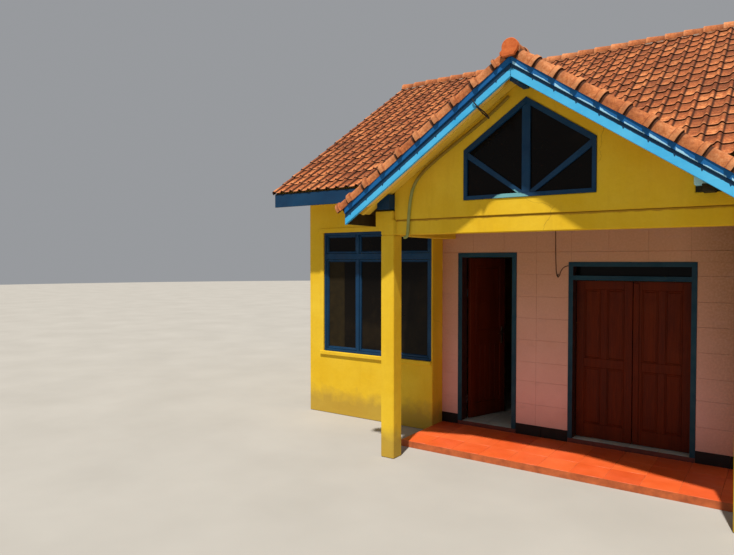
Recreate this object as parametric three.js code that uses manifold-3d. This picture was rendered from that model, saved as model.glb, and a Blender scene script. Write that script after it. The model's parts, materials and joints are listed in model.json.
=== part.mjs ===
// Single-storey tiled bungalow with a gabled entrance porch.
// Units are millimetres, +Z is up, +X runs along the front to the right, +Y runs into the house.
// While modelling, X = 0 is the middle of the porch gable, Y = 0 is the front face of the porch's
// rear wall and Z = 0 is the top of the porch floor. At the end the whole group is moved so that
// its origin lies in the middle of the building at ground level.
import * as THREE from 'three';
import * as BufferGeometryUtils from 'three/addons/utils/BufferGeometryUtils.js';
import Module from 'manifold-3d';

const wasm = await Module();
wasm.setup();

// Clearance between pieces that touch on the real building
const GAP = 0.3;
// How far a cutting shape runs past the faces that it cuts through
const PAST = 10;

// Levels
const GROUND_Z = -70;
const HOUSE_FLOOR_Z = 50;
const BEAM_BOTTOM_Z = 2330;
const BEAM_LEDGE_Z = 2492;

// Walls, measured to their outer faces
const WALL = 150;
const LEFT_WALL_X = -3600;
const LEFT_RETURN_X = -1616;
const RIGHT_RETURN_X = 1886;
const RIGHT_WALL_X = 3870;
const FRONT_Y = -263;
const REAR_Y = 6001;
const MIDDLE_X = (LEFT_WALL_X + RIGHT_WALL_X) / 2;

// Main roof: a gable with its ridge along X
const MAIN_TAN = 0.643;
const EAVE_Y = -666;
const EAVE_Z = 2974;
const RIDGE_Y = (FRONT_Y + REAR_Y) / 2;
const MAIN_DECK = 135;
const TILES = 60;
const TILE_OVERHANG = 34;
// Pantiles: a roll at every pitch, its outline across the slope as distance from its crest and
// height over the deck, steeper on the side that laps the next tile
const TILE_PITCH = 158;
const PAN_HEIGHT = 30;
const ROLL = [[-68, PAN_HEIGHT], [-28, 50], [-10, TILES], [10, TILES], [24, 42], [28, PAN_HEIGHT]];
const MAIN_ROLL_X = 1308;
const FASCIA_BOTTOM_Z = 2800;
const BOARD = 25;
const LEFT_VERGE_X = -3895;
const RIGHT_VERGE_X = 2 * MIDDLE_X - LEFT_VERGE_X;
const VERGE_TILE_OVERHANG = 40;
const MAIN_RIDGE_RADIUS = 85;
const MAIN_RIDGE_RISE = 40;
const MAIN_RIDGE_OVERHANG = 50;

// Porch roof: a gable with its ridge along Y, longer on its right
const PORCH_TAN = 0.684;
const PORCH_APEX_Z = 3863;
const PORCH_DECK = 80;
const PORCH_LEFT_X = -1812;
const PORCH_RIGHT_X = 1950;
const PORCH_VERGE_Y = -1812;
const LOWER_BOARD_TOP = 100;
const LOWER_BOARD_BOTTOM = 192;
const UPPER_BOARD_PROUD = 16;
const PORCH_TILE_OVERHANG = 60;
// From the tiles' front edge to the first roll on the right slope and on the left one
const PORCH_ROLL = [113, 5];
const VERGE_CAP_RADIUS = 70;
const VERGE_CAP_RISE = 30;
const VERGE_CAP_PROUD = 30;
const VERGE_CAP_OVERHANG = 135;
const PORCH_RIDGE_RADIUS = 82;
const PORCH_RIDGE_Z = 3911;
const PORCH_RIDGE_OVERHANG = 58;

// Porch structure
const PORCH_FLOOR_Y = -1003;
const BEAM_Y = -1462;
const BEAM_RECESS = 50;
const COLUMN = 163;
const LEFT_COLUMN_X = -1593;
const RIGHT_COLUMN_X = 1700;
const BEAM_STUB = 72;
const STUB_RADIUS = 45;
const STUB_BOTTOM_Z = 2378;
const BLOCK_TOP_Z = 2588;
const PLATE_X = { left: [1447, 1600], right: [1405, 1600] };
const PLATE_Z = [2603, 2757];
const PLATE_Y = -1528;
const GABLE_Y = -1422;
const GABLE_WALL = 120;

// Front and rear windows, one pattern: three lights with a top light over each
const WINDOW_WIDTH = 1709;
const WINDOW_Z = [797, 2447];
const WINDOW_JAMB = 70;
const WINDOW_MULLION = 104;
const WINDOW_HEAD = 95;
const WINDOW_SILL = 95;
const TOP_LIGHT_Z = 2189;
const LOW_LIGHT_Z = 2042;
const WINDOW_DEPTH = 60;
const WINDOW_INSET = 8;
const WINDOW_REBATE = 100;
const CORNER_NIB = 20;
const GLASS = 5;
const GLASS_LAP = 40;
const REAR_WINDOW_X = [-2900, 1460];

// Gable window
const GABLE_WINDOW = { half: 635, bottom: 2655, shoulder: 3145, apex: 3580, member: 40, post: 80 };
const GABLE_WINDOW_PROUD = 10;
const GABLE_GLASS_LAP = 20;

// Doors
const ENTRY = { x0: -1393, x1: -630, top: 2155, member: 55 };
const DOUBLE = {
  x0: -20, x1: 1267, top: 2043, member: 51, barTop: 1891, barBottom: 1841, meeting: 640,
};
const DOOR_FRAME_Y = [-10, 135];
const LEAF_THICKNESS = 38;
const LEAF_GAP = 8;
const MEETING_GAP = 9;
const LEAF_BOTTOM_Z = HOUSE_FLOOR_Z + 10;
const ENTRY_OPEN_DEG = 70;
const KNUCKLE_RADIUS = 8;
const KNUCKLE_LENGTH = 50;
const HINGE_PLATE = 30;
const HINGE_PLATE_THICKNESS = 4;
const HINGE_HEIGHTS = [250, 1600];
const TRANSOM_LAP = 20;

// Door handle: a lever on a long plate
const HANDLE_Z = 1080;
const HANDLE_SETBACK = 60;
const HANDLE_PLATE = { half: 18, height: 110, thickness: 5 };
const HANDLE_ROD = { half: 7, bottom: 25, top: 39 };
const HANDLE_LEVER = { length: 105, near: 35, far: 49 };

// Conduit on the gable wall
const PIPE_RADIUS = 11;
const PIPE_CLIP = 1.5;

const paint = (color, roughness, metalness = 0) =>
  new THREE.MeshStandardMaterial({ color, roughness, metalness });
const yellowPlaster = paint(0xd9b22a, 0.85);
const pinkPlaster = paint(0xb98a80, 0.8);
const redTile = paint(0xd2512c, 0.5);
const greyFloor = paint(0xa7a9a6, 0.4);
const clayTile = paint(0xb5633c, 0.85);
const darkBlueWood = paint(0x123f5e, 0.5);
const lightBlueWood = paint(0x4aaede, 0.45);
const yellowWood = paint(0xc9a32c, 0.7);
const brownWood = paint(0x5a2a18, 0.5);
const darkGlass = paint(0x1c1a1c, 0.1);
const pipeGrey = paint(0x8d9a84, 0.6);

const group = new THREE.Group();

function add(name, geometry, material) {
  const mesh = new THREE.Mesh(geometry, material);
  mesh.name = name;
  group.add(mesh);
  return mesh;
}

// Geometry helpers

function box(x0, x1, y0, y1, z0, z1) {
  const geometry = new THREE.BoxGeometry(x1 - x0, y1 - y0, z1 - z0);
  geometry.translate((x0 + x1) / 2, (y0 + y1) / 2, (z0 + z1) / 2);
  return geometry;
}

// The same from two X values in either order
function boxBetween(xa, xb, y0, y1, z0, z1) {
  return box(Math.min(xa, xb), Math.max(xa, xb), y0, y1, z0, z1);
}

function extrude(points, depth, xAxis, yAxis, zAxis) {
  const shape = new THREE.Shape(points.map(([a, b]) => new THREE.Vector2(a, b)));
  const geometry = new THREE.ExtrudeGeometry(shape, { depth, bevelEnabled: false });
  geometry.applyMatrix4(new THREE.Matrix4().makeBasis(xAxis, yAxis, zAxis));
  return geometry;
}

const X = new THREE.Vector3(1, 0, 0);
const Y = new THREE.Vector3(0, 1, 0);
const Z = new THREE.Vector3(0, 0, 1);
const BACK = new THREE.Vector3(0, -1, 0);

// Outline in X and Z, running from y0 to y1
function alongY(points, y0, y1) {
  return extrude(points, y1 - y0, X, Z, BACK).translate(0, y1, 0);
}

// Outline in Y and Z, running from x0 to x1
function alongX(points, x0, x1) {
  return extrude(points, x1 - x0, Y, Z, X).translate(x0, 0, 0);
}

// Outline in X and Y, running from z0 to z1
function alongZ(points, z0, z1) {
  return extrude(points, z1 - z0, X, Y, Z).translate(0, 0, z0);
}

function solid(geometry) {
  const bare = geometry.clone();
  bare.deleteAttribute('normal');
  bare.deleteAttribute('uv');
  const merged = BufferGeometryUtils.mergeVertices(bare, 1e-3);
  const vertProperties = new Float32Array(merged.attributes.position.array);
  const triVerts = new Uint32Array(merged.index.array);
  return new wasm.Manifold(new wasm.Mesh({ numProp: 3, vertProperties, triVerts }));
}

function geometryOf(manifold) {
  const mesh = manifold.getMesh();
  const geometry = new THREE.BufferGeometry();
  const position = new THREE.BufferAttribute(new Float32Array(mesh.vertProperties), 3);
  geometry.setAttribute('position', position);
  geometry.setIndex(new THREE.BufferAttribute(new Uint32Array(mesh.triVerts), 1));
  geometry.computeVertexNormals();
  return geometry;
}

function join(...geometries) {
  return geometryOf(geometries.map(solid).reduce((a, b) => a.add(b)));
}

function cut(geometry, ...tools) {
  return geometryOf(tools.map(solid).reduce((a, b) => a.subtract(b), solid(geometry)));
}

// Roof planes

// Top of the main roof's deck at a distance into the house
const mainTop = (y) => EAVE_Z + MAIN_TAN * (RIDGE_Y - EAVE_Y - Math.abs(y - RIDGE_Y));
// Top of the porch roof's deck at a distance from its ridge
const porchTop = (x) => PORCH_APEX_Z - PORCH_TAN * Math.abs(x);

// A gable-shaped band between two heights over the main deck's top
function mainBand(low, high, yEave) {
  const rear = 2 * RIDGE_Y - yEave;
  return [
    [yEave, mainTop(yEave) + low],
    [RIDGE_Y, mainTop(RIDGE_Y) + low],
    [rear, mainTop(rear) + low],
    [rear, mainTop(rear) + high],
    [RIDGE_Y, mainTop(RIDGE_Y) + high],
    [yEave, mainTop(yEave) + high],
  ];
}

// The same over the porch deck's top, from the left edge to the right edge
function porchBand(low, high, x0, x1) {
  return [
    [x0, porchTop(x0) + low],
    [0, porchTop(0) + low],
    [x1, porchTop(x1) + low],
    [x1, porchTop(x1) + high],
    [0, porchTop(0) + high],
    [x0, porchTop(x0) + high],
  ];
}

// House floor, with a tongue under each door
function houseFloor() {
  const left = LEFT_WALL_X + WALL + GAP;
  const right = RIGHT_WALL_X - WALL - GAP;
  const front = FRONT_Y + WALL + GAP;
  const leftReturn = LEFT_RETURN_X - WALL - GAP;
  const rightReturn = RIGHT_RETURN_X + WALL + GAP;
  const porchBack = WALL + GAP;
  const rear = REAR_Y - WALL - GAP;
  const outline = [
    [left, front], [leftReturn, front], [leftReturn, porchBack],
    [ENTRY.x0 + GAP, porchBack], [ENTRY.x0 + GAP, 0],
    [ENTRY.x1 - GAP, 0], [ENTRY.x1 - GAP, porchBack],
    [DOUBLE.x0 + GAP, porchBack], [DOUBLE.x0 + GAP, 0],
    [DOUBLE.x1 - GAP, 0], [DOUBLE.x1 - GAP, porchBack],
    [rightReturn, porchBack], [rightReturn, front], [right, front], [right, rear], [left, rear],
  ];
  return alongZ(outline, GROUND_Z, HOUSE_FLOOR_Z);
}

add('house_floor', houseFloor(), greyFloor);
const porchLeft = LEFT_RETURN_X + GAP;
const porchRight = RIGHT_RETURN_X - GAP;
add('porch_floor', box(porchLeft, porchRight, PORCH_FLOOR_Y, -GAP, GROUND_Z, 0), redTile);

// Walls

const deckUnder = (y) => mainTop(y) - MAIN_DECK - GAP;
const FRONT_WALL_TOP = deckUnder(FRONT_Y);
const PORCH_WALL_TOP = deckUnder(0);
const LEFT_WINDOW_X = LEFT_RETURN_X - CORNER_NIB - WINDOW_WIDTH;
const RIGHT_WINDOW_X = RIGHT_RETURN_X + CORNER_NIB;

// A front bay: the window wall and the wall that returns to the porch's rear wall. The window
// reaches the corner, so it sits in a rebate there and the opening behind it stops at the return.
function frontBay(outerX, returnX, windowX) {
  const away = Math.sign(outerX - returnX);
  const face = boxBetween(outerX, returnX, FRONT_Y, FRONT_Y + WALL, GROUND_Z, FRONT_WALL_TOP);
  const innerX = returnX + away * WALL;
  const returned = boxBetween(returnX, innerX, FRONT_Y, WALL, GROUND_Z, FRONT_WALL_TOP);
  const rebateY = FRONT_Y + WINDOW_REBATE;
  const rebate = box(windowX, windowX + WINDOW_WIDTH, FRONT_Y - PAST, rebateY, ...WINDOW_Z);
  const farX = away < 0 ? windowX : windowX + WINDOW_WIDTH;
  const through = boxBetween(farX, innerX, rebateY - PAST, FRONT_Y + WALL + PAST, ...WINDOW_Z);
  return cut(join(face, returned), rebate, through);
}

add('front_wall_left', frontBay(LEFT_WALL_X, LEFT_RETURN_X, LEFT_WINDOW_X), yellowPlaster);
add('front_wall_right', frontBay(RIGHT_WALL_X, RIGHT_RETURN_X, RIGHT_WINDOW_X), yellowPlaster);

// The porch's rear wall: piers beside the doorways and one piece over them
const pier = (x0, x1) => box(x0, x1, 0, WALL, GROUND_Z, ENTRY.top);
add('porch_wall_left', pier(porchLeft, ENTRY.x0), pinkPlaster);
add('porch_wall_middle', pier(ENTRY.x1, DOUBLE.x0), pinkPlaster);
add('porch_wall_right', pier(DOUBLE.x1, porchRight), pinkPlaster);
const overDoors = [
  [porchLeft, ENTRY.top + GAP], [DOUBLE.x0 + GAP, ENTRY.top + GAP],
  [DOUBLE.x0 + GAP, DOUBLE.top], [DOUBLE.x1 - GAP, DOUBLE.top],
  [DOUBLE.x1 - GAP, ENTRY.top + GAP], [porchRight, ENTRY.top + GAP],
  [porchRight, PORCH_WALL_TOP], [porchLeft, PORCH_WALL_TOP],
];
add('porch_wall_over_doors', alongY(overDoors, 0, WALL), pinkPlaster);

// End walls rise to the roof as gables
function endWall(x0, x1) {
  const front = FRONT_Y + WALL + GAP;
  const rear = REAR_Y - WALL - GAP;
  const outline = [
    [front, GROUND_Z], [rear, GROUND_Z], [rear, deckUnder(rear)],
    [RIDGE_Y, deckUnder(RIDGE_Y)], [front, deckUnder(front)],
  ];
  return alongX(outline, x0, x1);
}

add('end_wall_left', endWall(LEFT_WALL_X, LEFT_WALL_X + WALL), yellowPlaster);
add('end_wall_right', endWall(RIGHT_WALL_X - WALL, RIGHT_WALL_X), yellowPlaster);

function rearWall() {
  const wall = box(LEFT_WALL_X, RIGHT_WALL_X, REAR_Y - WALL, REAR_Y, GROUND_Z, FRONT_WALL_TOP);
  const holes = REAR_WINDOW_X.map((x) =>
    box(x, x + WINDOW_WIDTH, REAR_Y - WALL - PAST, REAR_Y + PAST, ...WINDOW_Z));
  return cut(wall, ...holes);
}

add('rear_wall', rearWall(), yellowPlaster);

// Windows

// A window frame whose opening starts at x, between two depths
function windowFrame(x, y0, y1) {
  const [w0, w1] = [x + GAP, x + WINDOW_WIDTH - GAP];
  const [z0, z1] = [WINDOW_Z[0] + GAP, WINDOW_Z[1] - GAP];
  const pane = (w1 - w0 - 2 * WINDOW_JAMB - 2 * WINDOW_MULLION) / 3;
  const lights = [];
  for (let i = 0; i < 3; i += 1) {
    const p0 = w0 + WINDOW_JAMB + i * (pane + WINDOW_MULLION);
    lights.push(box(p0, p0 + pane, y0 - PAST, y1 + PAST, z0 + WINDOW_SILL, LOW_LIGHT_Z));
    lights.push(box(p0, p0 + pane, y0 - PAST, y1 + PAST, TOP_LIGHT_Z, z1 - WINDOW_HEAD));
  }
  return cut(box(w0, w1, y0, y1, z0, z1), ...lights);
}

// One sheet behind the frame
function windowGlass(x, y0) {
  return box(x + GLASS_LAP, x + WINDOW_WIDTH - GLASS_LAP, y0, y0 + GLASS,
    WINDOW_Z[0] + GLASS_LAP, WINDOW_Z[1] - GLASS_LAP);
}

const frontFrame = [FRONT_Y + WINDOW_INSET, FRONT_Y + WINDOW_INSET + WINDOW_DEPTH];
const rearFrame = [REAR_Y - WINDOW_INSET - WINDOW_DEPTH, REAR_Y - WINDOW_INSET];
for (const [side, x] of [['left', LEFT_WINDOW_X], ['right', RIGHT_WINDOW_X]]) {
  add(`front_window_${side}`, windowFrame(x, ...frontFrame), darkBlueWood);
  add(`front_glass_${side}`, windowGlass(x, frontFrame[1] + GAP), darkGlass);
}
for (const [i, side] of ['left', 'right'].entries()) {
  add(`rear_window_${side}`, windowFrame(REAR_WINDOW_X[i], ...rearFrame), darkBlueWood);
  add(`rear_glass_${side}`, windowGlass(REAR_WINDOW_X[i], rearFrame[0] - GAP - GLASS), darkGlass);
}

// Doors. A leaf lies flush with the inner face of its frame and turns on knuckles there.
const [FRAME_FRONT, FRAME_BACK] = DOOR_FRAME_Y;
const PIN_Y = FRAME_BACK + KNUCKLE_RADIUS + GAP;

function doorFrame(door, holes) {
  const uncut = box(door.x0 + GAP, door.x1 - GAP, FRAME_FRONT, FRAME_BACK,
    HOUSE_FLOOR_Z + GAP, door.top - GAP);
  const tools = holes.map(([x0, x1, z0, z1]) =>
    box(x0, x1, FRAME_FRONT - PAST, FRAME_BACK + PAST, z0, z1));
  return cut(uncut, ...tools);
}

// Half a butt hinge: a knuckle on the pin and a plate that runs sideways from it
function hingeHalf(pinX, plateEndX, y0, y1, z) {
  const knuckle = new THREE.CylinderGeometry(KNUCKLE_RADIUS, KNUCKLE_RADIUS, KNUCKLE_LENGTH, 12);
  knuckle.rotateX(Math.PI / 2);
  knuckle.translate(pinX, PIN_Y, z + KNUCKLE_LENGTH / 2);
  return [knuckle, boxBetween(pinX, plateEndX, y0, y1, z, z + KNUCKLE_LENGTH)];
}

// The frame's halves, below the leaf's: side is -1 on a left jamb and +1 on a right one
function withHinges(frame, pins) {
  const parts = [];
  for (const [pinX, side] of pins) {
    for (const z of HINGE_HEIGHTS) {
      parts.push(...hingeHalf(pinX, pinX + side * HINGE_PLATE, FRAME_BACK - HINGE_PLATE_THICKNESS,
        FRAME_BACK + HINGE_PLATE_THICKNESS, z));
    }
  }
  return join(frame, ...parts);
}

// A leaf between x0 and x1 that hangs on the pin at pinX
function doorLeaf(x0, x1, z1, pinX, extras = []) {
  const slab = box(x0, x1, FRAME_BACK - LEAF_THICKNESS, FRAME_BACK, LEAF_BOTTOM_Z, z1);
  const side = Math.sign(x0 + x1 - 2 * pinX);
  const nearX = pinX + side * LEAF_GAP;
  const plateEndX = nearX + side * HINGE_PLATE;
  const parts = [];
  for (const height of HINGE_HEIGHTS) {
    const z = height + KNUCKLE_LENGTH + GAP;
    parts.push(...hingeHalf(pinX, plateEndX, FRAME_BACK + GAP, FRAME_BACK + HINGE_PLATE_THICKNESS, z));
    // The plate is let into the leaf
    parts.push(boxBetween(nearX, plateEndX, FRAME_BACK - HINGE_PLATE_THICKNESS,
      FRAME_BACK + HINGE_PLATE_THICKNESS, z, z + KNUCKLE_LENGTH));
  }
  return join(slab, ...parts, ...extras);
}

// Levers on both faces of a leaf, pointing towards its hinges
function handles(x, towards) {
  const parts = [];
  const faces = [[FRAME_BACK - LEAF_THICKNESS, -1], [FRAME_BACK, 1]];
  for (const [face, out] of faces) {
    const block = (xa, xb, near, far, z0, z1) => {
      const y = [face + out * near, face + out * far].sort((a, b) => a - b);
      parts.push(boxBetween(xa, xb, ...y, HANDLE_Z + z0, HANDLE_Z + z1));
    };
    const { half, height, thickness } = HANDLE_PLATE;
    const { half: rod, bottom, top } = HANDLE_ROD;
    const { length, near, far } = HANDLE_LEVER;
    block(x - half, x + half, -thickness, thickness, -height, height);
    block(x - rod, x + rod, thickness - 1, far - 1, bottom, top);
    block(x - towards * rod, x + towards * length, near, far, bottom, top);
  }
  return parts;
}

// The entry door stands half open
const entryPin = ENTRY.x0 + ENTRY.member;
const entryFrame = doorFrame(ENTRY, [
  [ENTRY.x0 + ENTRY.member, ENTRY.x1 - ENTRY.member, 0, ENTRY.top - ENTRY.member],
]);
add('entry_door_frame', withHinges(entryFrame, [[entryPin, -1]]), darkBlueWood);
const entryLeafEnd = ENTRY.x1 - ENTRY.member - LEAF_GAP;
const entryLeaf = doorLeaf(entryPin + LEAF_GAP, entryLeafEnd, ENTRY.top - ENTRY.member - LEAF_GAP,
  entryPin, handles(entryLeafEnd - HANDLE_SETBACK, -1));
entryLeaf.translate(-entryPin, -PIN_Y, 0);
const leaf = add('entry_door_leaf', entryLeaf, brownWood);
leaf.position.set(entryPin, PIN_Y, 0);
leaf.rotation.z = THREE.MathUtils.degToRad(ENTRY_OPEN_DEG);

// The double door has a fixed light over its two leaves
const leftPin = DOUBLE.x0 + DOUBLE.member;
const rightPin = DOUBLE.x1 - DOUBLE.member;
const doubleFrame = doorFrame(DOUBLE, [
  [leftPin, rightPin, 0, DOUBLE.barBottom],
  [leftPin, rightPin, DOUBLE.barTop, DOUBLE.top - DOUBLE.member],
]);
add('double_door_frame', withHinges(doubleFrame, [[leftPin, -1], [rightPin, 1]]), darkBlueWood);
const doubleTop = DOUBLE.barBottom - LEAF_GAP;
const leftMeeting = DOUBLE.meeting - MEETING_GAP / 2;
const rightMeeting = DOUBLE.meeting + MEETING_GAP / 2;
add('double_door_left_leaf', doorLeaf(leftPin + LEAF_GAP, leftMeeting, doubleTop, leftPin), brownWood);
add('double_door_right_leaf', doorLeaf(rightMeeting, rightPin - LEAF_GAP, doubleTop, rightPin), brownWood);
const transomY = FRAME_BACK + GAP;
const transom = box(leftPin - TRANSOM_LAP, rightPin + TRANSOM_LAP, transomY, transomY + GLASS,
  DOUBLE.barTop - TRANSOM_LAP, DOUBLE.top - DOUBLE.member + TRANSOM_LAP);
add('transom_glass', transom, darkGlass);

// Porch columns, beams and gable wall

const porchUnder = (x) => porchTop(x) - PORCH_DECK - GAP;
for (const [side, x] of [['left', LEFT_COLUMN_X], ['right', RIGHT_COLUMN_X]]) {
  add(`column_${side}`, box(x, x + COLUMN, BEAM_Y, BEAM_Y + COLUMN, GROUND_Z, BEAM_BOTTOM_Z - GAP),
    yellowPlaster);
}

// One ring of plastered beams: the front beam, set back between the columns, and one over each side
function porchBeams() {
  const right = RIGHT_COLUMN_X + COLUMN;
  const stub = LEFT_COLUMN_X - BEAM_STUB;
  const front = new THREE.Shape();
  front.moveTo(stub, STUB_BOTTOM_Z + STUB_RADIUS);
  front.absarc(stub + STUB_RADIUS, STUB_BOTTOM_Z + STUB_RADIUS, STUB_RADIUS, Math.PI, 1.5 * Math.PI, false);
  front.lineTo(LEFT_COLUMN_X, STUB_BOTTOM_Z);
  front.lineTo(LEFT_COLUMN_X, BEAM_BOTTOM_Z);
  front.lineTo(right, BEAM_BOTTOM_Z);
  front.lineTo(right, BEAM_LEDGE_Z);
  front.lineTo(-PLATE_X.left[0], BEAM_LEDGE_Z);
  front.lineTo(-PLATE_X.left[0], BLOCK_TOP_Z);
  front.lineTo(stub, BLOCK_TOP_Z);
  const points = front.getPoints(6).map((p) => [p.x, p.y]);
  const beam = alongY(points, BEAM_Y, BEAM_Y + COLUMN);
  const sideY = BEAM_Y + COLUMN - PAST;
  const leftSide = box(LEFT_COLUMN_X, LEFT_COLUMN_X + COLUMN, sideY, -GAP, BEAM_BOTTOM_Z, BEAM_LEDGE_Z);
  const leftBlock = box(LEFT_COLUMN_X, -PLATE_X.left[0], sideY, -GAP, BEAM_LEDGE_Z - PAST, BLOCK_TOP_Z);
  const rightSide = box(RIGHT_COLUMN_X, right, sideY, -GAP, BEAM_BOTTOM_Z, BEAM_LEDGE_Z);
  const setBack = box(LEFT_COLUMN_X + COLUMN, RIGHT_COLUMN_X, BEAM_Y - PAST, BEAM_Y + BEAM_RECESS,
    BEAM_BOTTOM_Z - PAST, BEAM_LEDGE_Z + PAST);
  return cut(join(beam, leftSide, leftBlock, rightSide), setBack);
}

add('porch_beams', porchBeams(), yellowPlaster);

// Plates that carry the rafters, bevelled under the slope
for (const [side, sign] of [['left', -1], ['right', 1]]) {
  const [a, b] = PLATE_X[side];
  const outline = [
    [sign * a, PLATE_Z[0]], [sign * b, PLATE_Z[0]], [sign * b, porchUnder(b)],
    [sign * a, Math.min(PLATE_Z[1], porchUnder(a))],
  ];
  const points = sign > 0 ? outline : outline.reverse();
  add(`wall_plate_${side}`, alongY(points, PLATE_Y, -GAP), darkBlueWood);
}

// The gable wall ends at the left plate and is notched round the right one
function gableWall() {
  const left = -PLATE_X.left[0] + GAP;
  const right = RIGHT_COLUMN_X + COLUMN;
  const ledge = BEAM_LEDGE_Z + GAP;
  const outline = [
    [left, ledge], [right, ledge], [right, porchUnder(right)], [0, porchUnder(0)],
    [left, porchUnder(left)],
  ];
  const wall = alongY(outline, GABLE_Y, GABLE_Y + GABLE_WALL);
  const [a, b] = PLATE_X.right;
  const notch = box(a - GAP, b + GAP, PLATE_Y, 0, PLATE_Z[0] - GAP, porchTop(a));
  const opening = alongY(pentagon(0), GABLE_Y - PAST, GABLE_Y + GABLE_WALL + PAST);
  return cut(wall, notch, opening);
}

// The gable window's outline, drawn in by a margin
function pentagon(margin) {
  const { half, bottom, shoulder, apex } = GABLE_WINDOW;
  const slope = (apex - shoulder) / half;
  const slant = margin * Math.hypot(1, slope);
  const h = half - margin;
  return [
    [-h, bottom + margin], [h, bottom + margin], [h, shoulder + slope * margin - slant],
    [0, apex - slant], [-h, shoulder + slope * margin - slant],
  ];
}

// A rim with a post in the middle and two braces that fan out from its foot
function gableWindow() {
  const { bottom, member, post, half, shoulder, apex } = GABLE_WINDOW;
  const y0 = GABLE_Y - GABLE_WINDOW_PROUD;
  const y1 = y0 + WINDOW_DEPTH;
  const whole = solid(alongY(pentagon(GAP), y0, y1));
  const inside = solid(alongY(pentagon(member), y0 - PAST, y1 + PAST));
  const bars = [box(-post / 2, post / 2, y0, y1, bottom + PAST, apex)];
  for (const sign of [-1, 1]) {
    const reach = 1.2 * Math.hypot(half, shoulder - bottom);
    const bar = new THREE.BoxGeometry(reach, y1 - y0, member);
    bar.translate(reach / 2, 0, 0);
    bar.rotateY(-Math.atan2(shoulder - bottom - member, half - member / 2));
    if (sign < 0) {
      bar.rotateZ(Math.PI);
    }
    bar.translate(0, (y0 + y1) / 2, bottom + member / 2);
    bars.push(bar);
  }
  const grid = bars.map(solid).reduce((a, b) => a.add(b)).intersect(whole);
  return geometryOf(whole.subtract(inside).add(grid));
}

add('gable_wall', gableWall(), yellowPlaster);
add('gable_window', gableWindow(), darkBlueWood);
const gableGlassY = GABLE_Y - GABLE_WINDOW_PROUD + WINDOW_DEPTH + GAP;
add('gable_glass', alongY(pentagon(GABLE_GLASS_LAP), gableGlassY, gableGlassY + GLASS), darkGlass);

// Main roof: deck of rafters and battens, tiles, ridge caps, eave and verge boards

const deckEaveY = EAVE_Y + BOARD + GAP;
const tileEaveY = EAVE_Y - TILE_OVERHANG;
const mainDeck = alongX(mainBand(-MAIN_DECK, 0, deckEaveY), LEFT_VERGE_X + BOARD + GAP,
  RIGHT_VERGE_X - BOARD - GAP);
add('main_roof_deck', mainDeck, yellowWood);

// Section of a tiled slope from one place across it to another, as [across, height] points. One
// roll has its crest at the given place, and lean is -1 where the steep side faces backwards.
function tiledSection(from, to, crest, lean) {
  const roll = lean > 0 ? ROLL : ROLL.map(([a, h]) => [-a, h]).reverse();
  const first = Math.floor((from - crest) / TILE_PITCH) - 1;
  const last = Math.ceil((to - crest) / TILE_PITCH) + 1;
  const points = [];
  for (let n = first; n <= last; n += 1) {
    points.push(...roll.map(([a, h]) => [crest + n * TILE_PITCH + a, h]));
  }
  const heightAt = (place) => {
    const next = points.findIndex(([a]) => a > place);
    const [[a0, h0], [a1, h1]] = [points[next - 1], points[next]];
    return h0 + ((h1 - h0) * (place - a0)) / (a1 - a0);
  };
  const inside = points.filter(([a]) => a > from + 1 && a < to - 1);
  return [[from, GAP], [to, GAP], [to, heightAt(to)], ...inside.reverse(), [from, heightAt(from)]];
}

// Tilts a level slab so that its height follows a slope: z grows by perX and perY, from z0
function onSlope(geometry, perX, perY, z0) {
  const shear = new THREE.Matrix4().set(1, 0, 0, 0, 0, 1, 0, 0, perX, perY, 1, z0, 0, 0, 0, 1);
  return geometry.applyMatrix4(shear);
}

// The rear slope is the front one turned half round the middle of the ridge
function mainTiles() {
  const section = tiledSection(LEFT_VERGE_X - VERGE_TILE_OVERHANG, RIGHT_VERGE_X + VERGE_TILE_OVERHANG,
    MAIN_ROLL_X, 1);
  const level = alongY(section, tileEaveY, RIDGE_Y);
  const front = onSlope(level, 0, MAIN_TAN, EAVE_Z - MAIN_TAN * EAVE_Y);
  const rear = front.clone().translate(-MIDDLE_X, -RIDGE_Y, 0).rotateZ(Math.PI)
    .translate(MIDDLE_X, RIDGE_Y, 0);
  return join(front, rear);
}

add('main_roof_tiles', mainTiles(), clayTile);

// Half-round capping with a hollow underside that fits over two slopes falling from (0, under)
function ridgeCap(radius, centre, under, tan) {
  // The round meets the slope where |(d, under - tan * d - centre)| = radius
  const drop = under - centre;
  const a = 1 + tan * tan;
  const b = -2 * drop * tan;
  const c = drop * drop - radius * radius;
  const d = (-b + Math.sqrt(b * b - 4 * a * c)) / (2 * a);
  const edge = Math.atan2(drop - tan * d, d);
  const steps = 14;
  const points = [];
  for (let i = 0; i <= steps; i += 1) {
    const angle = edge + ((Math.PI - 2 * edge) * i) / steps;
    points.push([radius * Math.cos(angle), centre + radius * Math.sin(angle)]);
  }
  points.push([0, under]);
  return points;
}

const mainTileApex = mainTop(RIDGE_Y) + TILES + GAP;
const mainCapCentre = mainTileApex + MAIN_RIDGE_RISE - MAIN_RIDGE_RADIUS;
const mainCap = ridgeCap(MAIN_RIDGE_RADIUS, mainCapCentre, mainTileApex, MAIN_TAN)
  .map(([d, z]) => [RIDGE_Y + d, z]);
const mainCaps = alongX(mainCap, LEFT_VERGE_X - MAIN_RIDGE_OVERHANG, RIGHT_VERGE_X + MAIN_RIDGE_OVERHANG);
add('main_ridge_caps', mainCaps, clayTile);

function eaveBoard(y0) {
  return box(LEFT_VERGE_X, RIGHT_VERGE_X, y0, y0 + BOARD, FASCIA_BOTTOM_Z, EAVE_Z);
}

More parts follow.
